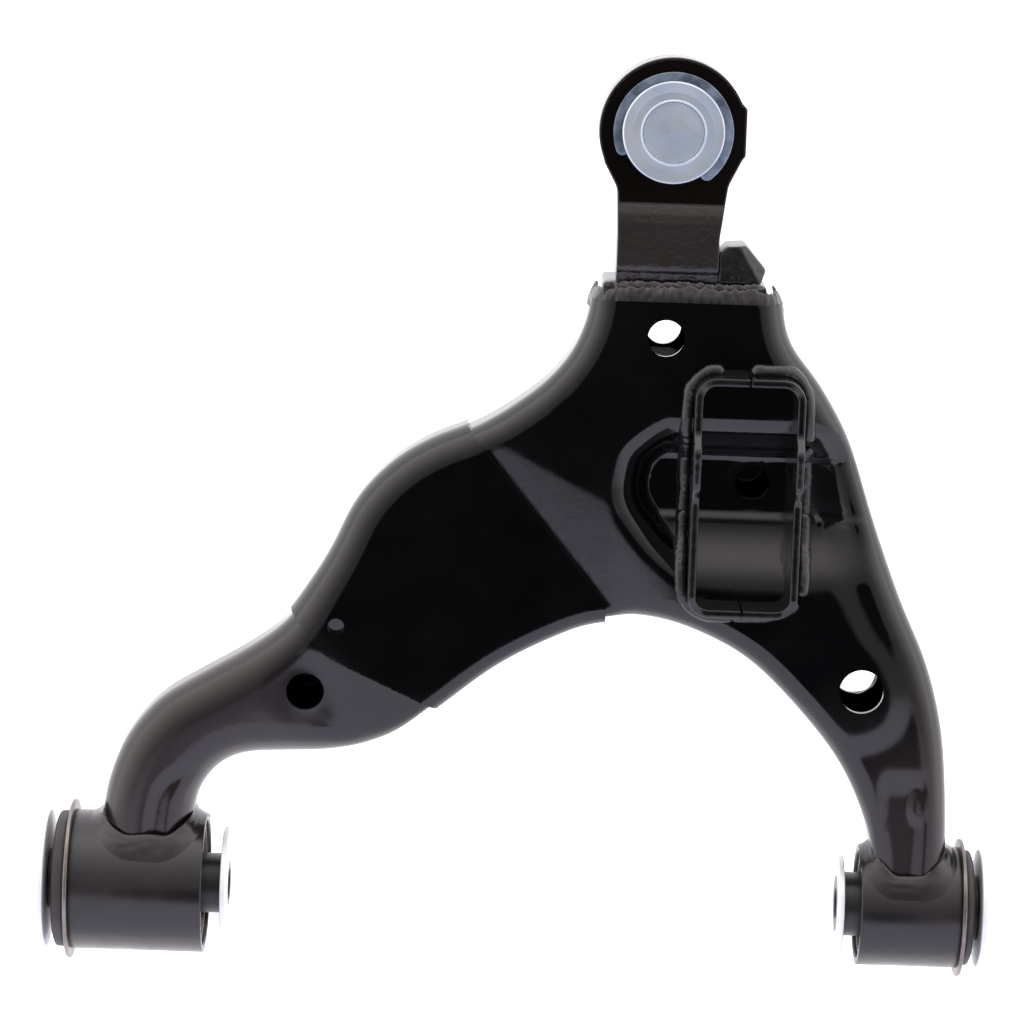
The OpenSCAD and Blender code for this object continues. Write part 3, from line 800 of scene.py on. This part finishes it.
def holder():
    cx, cy = BALL[0], BALL[1]
    arc = [(cx + EYE_R * math.cos(math.radians(a)), cy + EYE_R * math.sin(math.radians(a)), 0)
           for a in range(24, 204, 3)]
    corners = [(229.8, 305.8, 1), (310.4, 305.8, 1), (311.2, 316, 2), (311.4, 322, 2),
               (287, 322.2, 0.8), (287, 345, 12), (290.5, 371, 9), (296.8, 384, 2),
               (298.4, 386, 1.5), (298.4, 409.5, 1.5)] + arc + \
              [(228.4, 380.5, 6), (235.2, 368, 12), (236, 345, 12), (236, 322.2, 0.8),
               (229.6, 322, 2), (229.6, 316, 2)]
    outline = rounded(corners, 6)
    verts, faces = rounded_solid(outline, neck_top, neck_bottom, 0.7, [((cx, cy), BORE_R)], 1.0)
    obj = make("holder_forging", verts, faces, FORGING, "control_arm", ["ball_joint_holder"],
               40)
    second_material(obj, EYE_PAINT,
                    lambda c, n: c[1] > MACHINED_Y + 0.3 and n[2] > 0.9)


def steering_stop():
    corners = [(287.2, 322.5, 0.5), (308.5, 322.5, 2), (311.0, 329.5, 2), (300.5, 341.6, 1.5),
               (291.5, 341.0, 2), (287.2, 337, 1)]
    a, b = np.array([297.5, 340.5]), np.array([307.5, 323.5])
    d = unit(b - a)

    def top(x, y):
        beyond = np.maximum((x - a[0]) * -d[1] + (y - a[1]) * d[0], 0)
        grit = np.array([noise.noise(Vector((p * 0.4, q * 0.4, 9.1)))
                         for p, q in zip(np.ravel(x), np.ravel(y))]).reshape(np.shape(x))
        return 18.6 - 0.75 * beyond + 0.2 * grit

    verts, faces = rounded_solid(rounded(corners, 4), top, lambda x, y: np.full(x.shape, -11.9),
                                 0.7, (), 0.9)
    make("steering_stop_block", verts, faces, WELD, "control_arm", ["steering_stop"],
         40)


holder()
steering_stop()


# ---------------------------------------------------------------- shock absorber bracket

BRACKET_LOW, BRACKET_HIGH = box_mm("shock_bracket_rear")[0], box_mm("shock_bracket_front")[1]
BRACKET_MID = (BRACKET_LOW + BRACKET_HIGH) / 2
BRACKET_T = 4.0


def bracket_half(name, node, side):
    """One bent half of the bracket: its wall is drawn flat along its length, then wrapped."""
    wide, long = (BRACKET_HIGH - BRACKET_LOW)[:2]
    corner = 11.0
    gap = 0.25
    plan = rounded([(gap, long / 2, 0), (gap, -long / 2, 0), (wide / 2, -long / 2, corner),
                    (wide / 2, long / 2, corner)], 14)
    plan = np.vstack([plan[1:], plan[:1]])
    plan[:, 0] *= side
    plan += BRACKET_MID[:2]
    run = np.concatenate([[0], np.cumsum(np.linalg.norm(np.diff(plan, axis=0), axis=1))])
    dense = np.linspace(0, run[-1], 240)
    path = np.column_stack([np.interp(dense, run, plan[:, k]) for k in range(2)])
    ear = (SHOCK_BOLT[1] - 5, SHOCK_BOLT[1] + 13)
    low, high = ROOF_Z + 17, BRACKET_HIGH[2]
    y_end = (BRACKET_LOW[1], BRACKET_HIGH[1])
    flat = high - 8
    edge = rounded([(y_end[0] - 30, low, 0), (y_end[0] + 1, low, 4), (y_end[0] + 9, flat, 5),
                    (ear[0] - 8, flat, 4), (ear[0] - 1, high - 1, 4), (ear[1], high, 4),
                    (ear[1] + 7, flat, 4), (y_end[1] - 6, flat, 5), (y_end[1] - 1, low, 3),
                    (y_end[1] + 30, low, 0), (y_end[1] + 30, low - 60, 0),
                    (y_end[0] - 30, low - 60, 0)], 8)
    edge = edge[:-2]
    top = np.interp(path[:, 1], edge[:, 0], edge[:, 1])
    inner = np.clip(path, BRACKET_LOW[:2] + 2, BRACKET_HIGH[:2] - 2)
    foot = roof(inner[:, 0], inner[:, 1]) - 0.6
    foot = np.convolve(np.pad(foot, 4, mode="edge"), np.ones(9) / 9, mode="valid")
    outline = np.vstack([np.column_stack([dense, foot]), np.column_stack([dense, top])[::-1]])
    bolt_s = float(np.interp(SHOCK_BOLT[1], path[40:200, 1], dense[40:200]))
    verts, faces = rounded_solid(outline, lambda a, b: np.zeros(a.shape),
                                 lambda a, b: np.full(a.shape, -BRACKET_T), 0.7,
                                 [((bolt_s, SHOCK_BOLT[2]), 6.2)], 1.2, 2)
    outward = -left_normals(path) * side
    s = np.clip(verts[:, 0], 0, dense[-1])
    place = np.column_stack([np.interp(s, dense, path[:, k]) for k in range(2)])
    out = np.column_stack([np.interp(s, dense, outward[:, k]) for k in range(2)])
    out /= np.linalg.norm(out, axis=1)[:, None]
    burr = np.array([noise.noise(Vector((a * 0.35, b * 0.35, side * 3.0))) for a, b in verts[:, :2]])
    plan = place + out * (verts[:, 2] + 0.12 * burr)[:, None]
    plan = np.clip(plan, BRACKET_LOW[:2] + 0.01, BRACKET_HIGH[:2] - 0.01)
    wrapped = np.column_stack([plan, verts[:, 1] + 0.1 * burr])
    wrapped[:, 2] = np.minimum(wrapped[:, 2], high)
    make(name, wrapped, faces, WALL_PAINT, "control_arm", [node], 40)


bracket_half("bracket_wall_rear", "shock_bracket_rear", -1)
bracket_half("bracket_wall_front", "shock_bracket_front", 1)


# ---------------------------------------------------------------- pivot bushes

BORE = 8.1
TUBE_WALL, SLEEVE_WALL, FLANGE_T, WASHER_T = 3.5, 2.0, 2.0, 3.0


def bush(end, centre, side, tube, collar_end, collar_r):
    """The six pieces of one pivot bush, drawn with the flange towards +u; X = centre + side * u."""
    def radius(piece):
        return box_mm(f"{end}_bush_{piece}")[1][2]

    half = box_mm(f"{end}_bush_inner_sleeve")[1][0] - centre[0]
    tube_r, flange_r = radius("housing"), radius("outer_sleeve")
    hub_r = radius("inner_sleeve")
    spigot_r = 11.5 if end == "rear" else 14.5
    core = f"{end}_bush_core"
    bore_r = tube_r - TUBE_WALL
    sleeve_r = bore_r - SLEEVE_WALL
    face = tube[1] + FLANGE_T

    def turned(piece, corners, material, body, slot):
        profile = rounded(corners, 5)
        profile[:, 0] *= side
        lathe(f"{end}_{piece}_turned", profile, centre, "X", material, body,
              [f"{end}_bush_{piece}"])

    turned("housing", [(tube[0], tube_r, 0.8), (tube[1], tube_r, 0.4), (tube[1], bore_r, 0.3),
                       (tube[0], bore_r, 0.9)], TUBE_PAINT, "control_arm", "black_paint")
    turned("outer_sleeve", [(tube[0] + 2, bore_r - 0.03, 0.5), (tube[1] + 0.02, bore_r - 0.03, 0),
                            (tube[1] + 0.02, flange_r, 0.5), (face, flange_r, 0.7),
                            (face, sleeve_r, 0.9), (tube[0] + 2, sleeve_r, 0.4)],
           FLANGE, "control_arm", "bare_steel")
    mid = (sleeve_r + hub_r) / 2
    turned("rubber", [(tube[0] + 5, sleeve_r - 0.03, 0.8), (face + 0.02, sleeve_r - 0.03, 0),
                      (face + 0.02, collar_r - 0.6, 0.8), (face + 1.8, collar_r, 1.5),
                      (collar_end - 1.2, collar_r - 0.3, 1.4), (collar_end, collar_r - 3.2, 2.2),
                      (collar_end, hub_r + 5, 1.5), (collar_end - 2.4, hub_r + 1.6, 1.5),
                      (collar_end - 2.4, hub_r + 0.06, 0.3), (tube[0] + 6, hub_r + 0.06, 0.3),
                      (tube[0] + 6, hub_r + 1.5, 1), (tube[0] + 10, mid, 5),
                      (tube[0] + 6, sleeve_r - 1.5, 1)], RUBBER, "control_arm", "rubber")
    turned("inner_sleeve", [(-half, spigot_r, 0.6), (-half + WASHER_T + 0.02, spigot_r, 0),
                            (-half + WASHER_T + 0.02, hub_r, 0.8), (half - WASHER_T - 0.02, hub_r, 0.8),
                            (half - WASHER_T - 0.02, spigot_r, 0), (half, spigot_r, 0.6),
                            (half, BORE, 0.7), (-half, BORE, 0.7)], HUB, core, "hub_black")
    for piece, out in (("large_washer", 1), ("small_washer", -1)):
        r = radius(piece)
        a, b = out * (half - WASHER_T), out * half
        dish = out * 0.35
        turned(piece, [(a, spigot_r + 0.02, 0.4), (a, r, 0.7), (b, r, 0.9), (b, r - 2.2, 1.5),
                       (b - dish, r - 4.5, 2), (b - dish, spigot_r + 5, 2),
                       (b, spigot_r + 2.6, 1.0), (b, spigot_r + 0.02, 0.4)],
               ZINC, core, "zinc")


bush("rear", REAR, -1, (-36, 32), 41, 35.25)
bush("front", FRONT, 1, (-27, 24.5), 31.5, 29.8)


# ---------------------------------------------------------------- ball joint

JOINT = BALL


def ball_joint():
    def turned(piece, node, corners, material, body, slot, segments=160, steps=5):
        return lathe(piece, rounded(corners, steps), JOINT, "Z", material, body, [node], segments)

    top = box_mm("ball_joint_housing")[1][2]
    low = box_mm("ball_joint_housing")[0][2]
    turned("joint_housing_turned", "ball_joint_housing",
           [(-12, 19.55, 0.3), (18.2, 19.55, 0.3), (18.2, 15.25, 0.2), (top - 0.3, 15.25, 0.2),
            (top - 0.1, 15.45, 0.2), (top, 15.8, 0.3), (top - 0.45, 16.5, 0.5), (top - 0.55, 20, 3),
            (top - 0.1, 24.7, 0.4), (top - 0.6, BORE_R - 0.03, 0.2), (EYE_TOP + 2.62, BORE_R - 0.03, 0.2),
            (EYE_TOP + 2.62, 23, 0.2), (EYE_TOP + 0.02, 23, 0.2), (EYE_TOP + 0.02, BORE_R - 0.03, 0.1),
            (EYE_BOTTOM - 0.02, BORE_R - 0.03, 0), (EYE_BOTTOM - 0.02, 30.9, 0.6),
            (EYE_BOTTOM - 4, 30.9, 0.8), (EYE_BOTTOM - 4, 26, 0.6), (-18.9, 26, 0.3),
            (-18.9, 24.5, 0.3), (-22, 24.5, 0.3), (-22, 26, 0.3), (low, 26, 0.8), (low, 21.5, 1.2),
            (-12, 15.5, 0.8)], BLUE_ZINC, "control_arm", "zinc")
    turned("joint_cap_turned", "ball_joint_end_cap",
           [(15.45, 0, 0), (15.45, 19.5, 0.4), (18.15, 19.5, 0.3), (18.15, 15.1, 0.1),
            (top - 0.45, 15.1, 0.4), (top - 0.55, 13.2, 1.0), (top - 0.75, 8.0, 3),
            (top - 0.6, 1.2, 0.5), (top - 0.62, 0, 0)],
           BLUE_ZINC, "control_arm", "zinc")

    ball_r, gap = 15.0, 0.05
    bowl = [((ball_r + gap) * math.sin(math.radians(a)), (ball_r + gap) * math.cos(math.radians(a)))
            for a in np.linspace(66.4, -34.5, 28)]
    liner = [(15.35, 6.02), (15.35, 19.45), (-12, 19.45), (-12, 14.9)]
    lathe("joint_liner_turned", liner + bowl[::-1], JOINT, "Z", LINER, "control_arm",
          ["ball_seat_liner"], 96)


ball_joint()

def snap_ring():
    """Flat open ring with round ends, lying in the housing's groove on top of the eye."""
    mid, half, thick = 26.5, 3.42, 2.46
    start, turn = math.radians(311), math.radians(248)
    length = turn * mid
    into = half * np.sin(np.linspace(0, math.pi / 2, 9))
    run = np.concatenate([-into[::-1], np.linspace(0, length, 150)[1:-1], length + into])
    past = np.maximum(np.maximum(-run, run - length), 0)
    widths = np.sqrt(np.maximum(half ** 2 - past ** 2, 0.02 ** 2))
    verts, n = [], 0
    for s, w in zip(run, widths):
        f = min(0.45, 0.45 * w)
        section = rounded([(-w, 0, f), (w, 0, f), (w, thick, f), (-w, thick, f)], 3)
        n = len(section)
        a = start + s / mid
        for r, z in section:
            verts.append([JOINT[0] + (mid + r) * math.cos(a), JOINT[1] + (mid + r) * math.sin(a),
                          EYE_TOP + 0.03 + z])
    faces = [[k * n + i, k * n + (i + 1) % n, (k + 1) * n + (i + 1) % n, (k + 1) * n + i]
             for k in range(len(run) - 1) for i in range(n)]
    faces += [list(range(n))[::-1], [(len(run) - 1) * n + i for i in range(n)]]
    make("snap_ring_bent", verts, faces, SPRING, "control_arm", ["snap_ring"], 40)


def ball_stud():
    """Ball, neck, boot seat, taper and a cut M14 x 1.5 thread with its cotter hole."""
    end = box_mm("ball_stud")[0][2]
    ball_r, neck_r, seat_r, taper_r, thread_r, pitch = 15.0, 7.5, 9.0, 7.5, 7.0, 1.5
    rows = [(ball_r * math.cos(a), ball_r * math.sin(a))
            for a in np.linspace(0.0, math.radians(150), 40)]
    rows += [(-16, neck_r), (-24, neck_r), (-31.5, neck_r), (-32.7, neck_r + 0.3), (-33, neck_r + 0.8),
             (-33, seat_r - 0.5), (-33.5, seat_r), (-36.5, seat_r), (-39.5, seat_r), (-40, seat_r - 0.1)]
    rows += [(z, np.interp(z, [-62, -40], [taper_r, seat_r - 0.1])) for z in np.linspace(-44, -61.4, 8)]
    rows += [(-61.8, taper_r - 0.3), (-62, 6.3), (-62.6, 6.0), (-63.2, 6.0)]
    rows += [(z, None) for z in np.arange(-63.4, end + 1.2, -pitch / 8)]
    rows += [(end + 0.9, 6.0), (end + 0.3, 5.4), (end, 5.0), (end, 0.0)]
    segments = 96
    verts = []
    for z, r in rows:
        for k in range(segments):
            a = 2 * math.pi * k / segments
            if r is None:
                wave = abs(((z / pitch + k / segments) % 1.0) * 2 - 1)
                depth = 0.85 * min(1.0, max(0.0, (wave - 0.12) / 0.76))
                run_out = min(1.0, (-63.4 - z) / 1.5, (z - end - 0.9) / 1.5)
                own = min(thread_r, 6.05 + (thread_r - depth - 6.05) * max(run_out, 0.0))
            else:
                own = r
            verts.append([JOINT[0] + own * math.cos(a), JOINT[1] + own * math.sin(a), z])
    faces = [[k * segments + i, k * segments + (i + 1) % segments,
              (k + 1) * segments + (i + 1) % segments, (k + 1) * segments + i]
             for k in range(len(rows) - 1) for i in range(segments)]
    stud = make("ball_stud_threaded", verts, faces, STEEL, "stud", ["ball_stud"], 30)
    drill = lathe("cotter_drill", [(-12, 0), (-12, 1.7), (12, 1.7), (12, 0)],
                  (JOINT[0], JOINT[1], -78), "X", STEEL, None, segments=32)
    drill.data.transform(Matrix.Translation(Vector((JOINT[0], JOINT[1], 0)) * MM)
                         @ Matrix.Rotation(math.pi / 2, 4, "Z")
                         @ Matrix.Translation(Vector((-JOINT[0], -JOINT[1], 0)) * MM))
    cut = stud.modifiers.new("cotter_hole", "BOOLEAN")
    cut.object, cut.operation, cut.solver = drill, "DIFFERENCE", "EXACT"
    bpy.context.view_layer.update()
    bored = bpy.data.meshes.new_from_object(stud.evaluated_get(bpy.context.evaluated_depsgraph_get()))
    stud.modifiers.clear()
    stud.data = bored
    bored.set_sharp_from_angle(angle=math.radians(30))
    bpy.data.objects.remove(drill)


def dust_boot():
    """The boot is two pieces that meet below its bulge."""
    inner = [(-19.1, 24.6), (-21.7, 24.6), (-21.75, 26.3), (-25.4, 26.5), (-27, 27.4),
             (-28.6, 27.9), (-30.8, 26.9), (-32.6, 24.0)]
    outer = [(-33.3, 27.2), (-32, 28.8), (-30.3, 29.8), (-28.5, 30.1), (-25, 29.4), (-22.8, 28.4),
             (-21.6, 26.6), (-19.1, 26.6)]
    upper = [(a, b, 1.0) for a, b in inner[:-1]] + [(*inner[-1], 0), (*outer[0], 0)] \
        + [(a, b, 1.6) for a, b in outer[1:-2]] + [(*outer[-2], 0.4), (*outer[-1], 0.5)]
    lower = [(-32.6, 24.0, 0), (-33.8, 19.6, 3), (-34.6, 15.4, 3), (-35.4, 12.6, 1.5),
             (-36.5, 9.7, 0.6), (-37.0, 9.12, 0.3), (-39.58, 9.12, 0.5), (-39.58, 12, 0.5),
             (-37.6, 12.5, 0.8), (-36.8, 15, 1.5), (-36.0, 17.2, 1.5), (-36.6, 19.4, 1.5),
             (-35.8, 21.6, 1.5), (-35.0, 24.6, 1.5), (-33.3, 27.2, 0)]
    for name, corners, bodies, z0, z1 in (
            ("dust_boot_upper", upper, ("control_arm", "boot"), -20.0, -32.6),
            ("dust_boot_lower", lower, ("boot", "boot_foot"), -33.3, -36.5)):
        piece = lathe(name, rounded(corners, 5), JOINT, "Z", RUBBER, None, segments=144)
        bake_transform(piece)
        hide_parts("dust_boot")


def boot_clips():
    """Wire rings, each of two turns lying side by side."""
    for name, node, body, radius, z, wire in (
            ("boot_clip_large_wire", "boot_clip_large", "control_arm", 27.6, -20.4, 0.9),
            ("boot_clip_small_wire", "boot_clip_small", "boot_foot", 13.0, -38.5, 0.8)):
        turn = np.linspace(0, 2 * math.pi, 24, endpoint=False)
        outline = [(z + wire * math.sin(a) * (1 - 0.16 * abs(math.cos(a)) ** 6),
                    radius + wire * math.cos(a) * (1 - 0.3 * math.exp(-(math.sin(a) / 0.22) ** 2)))
                   for a in turn]
        lathe(name, outline, JOINT, "Z", ZINC, body, [node], 120)


snap_ring()
ball_stud()
dust_boot()
boot_clips()


# ---------------------------------------------------------------- the welds

def tube_weld(name, radius, x0, x1, low_z, bend, seed):
    """Fillet where a leg's end meets its bush housing: up both sides, round the leg's bent
    edges and across its roof, hollow between the leg's face and the housing's."""
    rows = [(x0, z, 0.0) for z in np.linspace(low_z, ROOF_Z - bend, 7)[:-1]]
    rows += [(x0 + bend * (1 - math.cos(t)), ROOF_Z - 0.6 - bend * (1 - math.sin(t)), t)
             for t in np.radians(np.linspace(0, 90, 10))]
    middle = np.linspace(x0 + bend, (x0 + x1) / 2, 4)[1:]
    rows += [(x, ROOF_Z - 0.6, math.pi / 2) for x in middle]
    rows += [(x0 + x1 - x, z, math.pi - t) for x, z, t in rows[-2::-1]]
    dense = resample(np.array([(x, z, 10 * t) for x, z, t in rows]), 0.8)
    verts, n = [], 0
    for i, (x, z, t) in enumerate(dense):
        t /= 10
        y = math.sqrt(radius ** 2 - z * z)
        foot = np.array([x, y, z])
        leg, tube = np.array([-math.cos(t), 0, math.sin(t)]), np.array([0, y, z]) / radius
        along = unit(np.cross(leg, tube))
        up, out = unit(np.cross(along, leg)), unit(np.cross(tube, along))
        up, out = up * np.sign(up[1]), out * np.sign(out @ leg)
        roof_part = math.sin(t) ** 4
        end = min(1.0, min(i, len(dense) - 1 - i) / 8 + 0.15)
        wave = noise.noise(Vector((i * 0.05, seed * 4.7, 0.3)))
        rise = (5.0 + 1.5 * wave) * end
        reach = (6.5 + 3.0 * roof_part + 1.6 * wave) * end
        drop = reach ** 2 / (2 * radius) * (out[1] ** 2 + out[2] ** 2)
        top, toe = foot + up * rise - leg * 0.25, foot + out * reach - tube * (0.25 + drop)
        mid = foot + (leg * 1.5 + tube * 1.5) * (1 + 0.5 * roof_part) - tube * 0.4 * drop
        ring = []
        for k, a in enumerate(np.linspace(0, 1, 13)):
            p = (1 - a) ** 2 * top + 2 * a * (1 - a) * mid + a * a * toe
            grit = noise.noise(Vector((i * 0.11, k * 0.5, seed * 2.9)))
            ring.append(p + (leg + tube) * 0.2 * grit * math.sin(math.pi * a))
        ring += [toe - tube * 0.9, foot - leg * 1.4 - tube * 1.2, top - leg * 0.9]
        n = len(ring)
        verts += ring
    faces = [[k * n + i, k * n + (i + 1) % n, (k + 1) * n + (i + 1) % n, (k + 1) * n + i]
             for k in range(len(dense) - 1) for i in range(n)]
    faces += [list(range(n))[::-1], [(len(dense) - 1) * n + i for i in range(n)]]
    make(name, verts, faces, TUBE_PAINT, "control_arm", (), 55)


tube_weld("weld_rear_leg", REAR_TUBE_R, -17.0, 29.5, -22, 16.0, 1)
tube_weld("weld_front_leg", FRONT_TUBE_R, 379.0, 416.0, -22, 12.0, 2)


def collar_weld():
    path = [(225.5, 312.5, -20), (225.0, 312.8, 0), (226.0, 313.2, 12), (229.0, 314.0, 19.5),
            (236, 314.6, 22.9), (246, 315.4, 23.4), (258, 314.8, 23.5), (272, 315.6, 23.4),
            (286, 315.0, 23.5), (300, 315.2, 23.2), (310, 314.6, 22.0), (316, 313.8, 17.5),
            (318.5, 313.2, 10), (319.0, 312.8, 0), (318.5, 312.5, -20)]
    ups = [(-1, 0.4, 0), (-1, 0.4, 0), (-0.95, 0.4, 0.2), (-0.7, 0.35, 0.6), (-0.25, 0.3, 0.9),
           (0, 0.25, 0.97), (0, 0.25, 0.97), (0, 0.25, 0.97), (0, 0.25, 0.97), (0, 0.25, 0.97),
           (0.25, 0.3, 0.9), (0.7, 0.35, 0.6), (0.95, 0.4, 0.2), (1, 0.4, 0), (1, 0.4, 0)]
    both = catmull(np.hstack([np.array(path), np.array([unit(u) for u in ups])]), 8)
    weld_bead("weld_collar", both[:, :3], both[:, 3:], 10.0, 1.4, 3.6, 5, 0.35, 0.06)
    second = both.copy()
    second[:, 1] += 4.4
    second[:, 2] -= 2.6 * np.clip(second[:, 5], 0, 1)
    keep = (second[:, 2] > 12) & (second[:, 0] > 232) & (second[:, 0] < 309)
    weld_bead("weld_collar_cap", second[keep][:, :3], second[keep][:, 3:], 6.0, 1.0, 3.4, 8, 0.4, 0.06)


collar_weld()


def bracket_welds():
    x0, x1 = BRACKET_LOW[0], BRACKET_HIGH[0]
    y0, y1 = BRACKET_LOW[1], BRACKET_HIGH[1]
    runs = [
        ("weld_bracket_rear_top", [(292, y1 + 1.6), (284, y1 + 1.2), (277.5, y1 - 4.5), (x0 - 2.4, y1 - 12),
                                   (x0 - 3.4, y1 - 33)], 6.5, 2.4, 3.4, 11),
        ("weld_bracket_rear", [(x0 - 2.6, 247), (x0 - 3.0, 236), (x0 - 2.6, 218), (x0 - 2.8, 200),
                               (x0 - 3.2, 186), (x0 - 3.0, 172), (x0 - 1.5, y0 + 7), (x0 + 4.5, y0 + 0.6),
                               (x0 + 13, y0 - 2.2), (302, y0 - 2.4)], 7.0, 2.6, 3.2, 12),
        ("weld_bracket_front_end", [(300, y0 - 2.2), (316, y0 - 2.0), (x1 - 6, y0 + 0.4),
                                    (x1 + 1.5, y0 + 6)], 6.5, 2.2, 3.6, 13),
        ("weld_bracket_front", [(x1 + 3.6, 166), (x1 + 4.4, 180), (x1 + 4.2, 200), (x1 + 4.0, 222),
                                (x1 + 3.8, 241)], 7.5, 2.6, 3.6, 14),
        ("weld_bracket_front_top", [(x1 + 3.8, 244), (x1 + 3.2, 258), (x1 + 1.6, y1 - 8),
                                    (x1 - 5, y1 + 0.6), (x1 - 14, y1 + 2.0), (305, y1 + 2.0)],
         7.0, 2.6, 3.4, 15)]
    for name, points, width, height, pitch, seed in runs:
        path, up = on_arm(catmull(points, 6))
        mid = np.array([BRACKET_MID[0], BRACKET_MID[1]])
        nearest = np.clip(path[:, :2], [x0 + 9, y0 + 9], [x1 - 9, y1 - 9])
        away = path[:, :2] - nearest
        away /= np.maximum(np.linalg.norm(away, axis=1), 1e-6)[:, None]
        up = up + 0.55 * np.column_stack([away, np.zeros(len(away))])
        up /= np.linalg.norm(up, axis=1)[:, None]
        weld_bead(name, path + up * 0.3, up, width, height, pitch, seed, 0.07, 0.05)


bracket_welds()


def seam_welds():
    """Fillet under the upper shell's skirt."""
    for k, run in enumerate(RUNS):
        run = resample(run, 2.0)
        normal = left_normals(run)
        z = np.full(len(run), SKIRT_Z - 1.2)
        low, high = shell_ends(run[:, 0], z)
        keep = (run[:, 1] > low + 4) & (run[:, 1] < high - 6)
        path = np.column_stack([run + normal * 2.6, z])[keep]
        up = np.column_stack([-normal, np.full(len(run), -0.9)])[keep]
        up /= np.linalg.norm(up, axis=1)[:, None]
        weld_bead(f"weld_seam_{k}", path, up, 5.6, 1.7, 2.9, 20 + k, 0.15)


seam_welds()


# ---------------------------------------------------------------- floor, light and camera

def stage():
    floor_z = box_mm("ball_stud")[0][2] - 0.5
    half = 4000
    mesh = bpy.data.meshes.new("floor")
    mesh.from_pydata([(x * half * MM, y * half * MM, floor_z * MM)
                      for x, y in ((-1, -1), (1, -1), (1, 1), (-1, 1))], [], [(0, 1, 2, 3)])
    mat, tree, main = shader("pale_floor", (0.86, 0.86, 0.86))
    main.inputs["Roughness"].default_value = 0.9
    main.inputs["Specular IOR Level"].default_value = 0.0
    main.inputs["Emission Color"].default_value = (1, 1, 1, 1)
    main.inputs["Emission Strength"].default_value = 0.8
    mesh.materials.append(mat)
    floor = bpy.data.objects.new("floor", mesh)
    bpy.context.scene.collection.objects.link(floor)


def light_tent():
    """A pale sky as in a light tent: a dark opening overhead with a crisp edge towards -Y, and
    a slow fall-off of brightness towards it on the other sides."""
    world = bpy.data.worlds.new("light_tent")
    bpy.context.scene.world = world
    world.use_nodes = True
    tree = world.node_tree
    sky = tree.nodes["Background"]
    place = tree.nodes.new("ShaderNodeTexCoord").outputs["Generated"]

    def against(direction):
        dot = tree.nodes.new("ShaderNodeVectorMath")
        dot.operation = "DOT_PRODUCT"
        dot.inputs[1].default_value = direction
        tree.links.new(place, dot.inputs[0])
        return dot.outputs["Value"]

    def mapped(source, ends, values, smooth):
        node = tree.nodes.new("ShaderNodeMapRange")
        node.interpolation_type = "SMOOTHSTEP" if smooth else "LINEAR"
        for socket, value in zip(("From Min", "From Max", "To Min", "To Max"), ends + values):
            node.inputs[socket].default_value = value
        tree.links.new(source, node.inputs["Value"])
        return node.outputs["Result"]

    def blend(factor, a, b):
        node = tree.nodes.new("ShaderNodeMix")
        for socket, value in (("Factor", factor), ("A", a), ("B", b)):
            if isinstance(value, float):
                node.inputs[socket].default_value = value
            else:
                tree.links.new(value, node.inputs[socket])
        return node.outputs["Result"]

    lean_x, lean_y = math.radians(2.5), math.radians(-9.0)
    overhead = against(Vector((math.sin(lean_x), math.sin(lean_y), math.cos(lean_y))).normalized())
    opening = mapped(overhead, (math.cos(math.radians(13.0)), math.cos(math.radians(8.5))),
                     (1.0, 0.0), True)
    falloff = mapped(overhead, (math.cos(math.radians(12.0)), math.cos(math.radians(88.0))),
                     (0.19, 1.15), False)
    inboard = mapped(against((0, -1, 0)), (0.15, 0.28), (0.0, 1.0), True)
    level = blend(opening, 0.012, blend(inboard, falloff, 0.72))
    strength = tree.nodes.new("ShaderNodeMath")
    strength.operation = "MULTIPLY"
    strength.inputs[1].default_value = 2.5
    tree.links.new(level, strength.inputs[0])
    tree.links.new(strength.outputs["Value"], sky.inputs["Strength"])
    tint = tree.nodes.new("ShaderNodeMix")
    tint.data_type = "RGBA"
    tint.inputs["A"].default_value = (1.0, 0.94, 0.94, 1)
    tint.inputs["B"].default_value = (0.86, 0.83, 1.0, 1)
    tree.links.new(inboard, tint.inputs["Factor"])
    tree.links.new(tint.outputs["Result"], sky.inputs["Color"])


def camera():
    target = Vector((188.0, 200.0, 0.0)) * MM
    tilt, roll = math.radians(10.0), math.radians(1.9)
    distance = 2037 * MM
    forward = Vector((0, -math.sin(tilt), -math.cos(tilt)))
    up = Vector((0, math.cos(tilt), -math.sin(tilt)))
    right = Vector((1, 0, 0))
    cam_right = math.cos(roll) * right + math.sin(roll) * up
    cam_up = -math.sin(roll) * right + math.cos(roll) * up
    data = bpy.data.cameras.new("camera")
    data.sensor_width = 36.0
    data.lens = 140.625
    data.clip_start, data.clip_end = 0.05, 50
    cam = bpy.data.objects.new("camera", data)
    bpy.context.scene.collection.objects.link(cam)
    place = target - forward * distance
    cam.matrix_world = Matrix([[cam_right[k], cam_up[k], -forward[k], place[k]] for k in range(3)]
                              + [[0, 0, 0, 1]])
    bpy.context.scene.camera = cam


stage()
light_tent()
camera()
bpy.context.scene.view_settings.view_transform = "Standard"
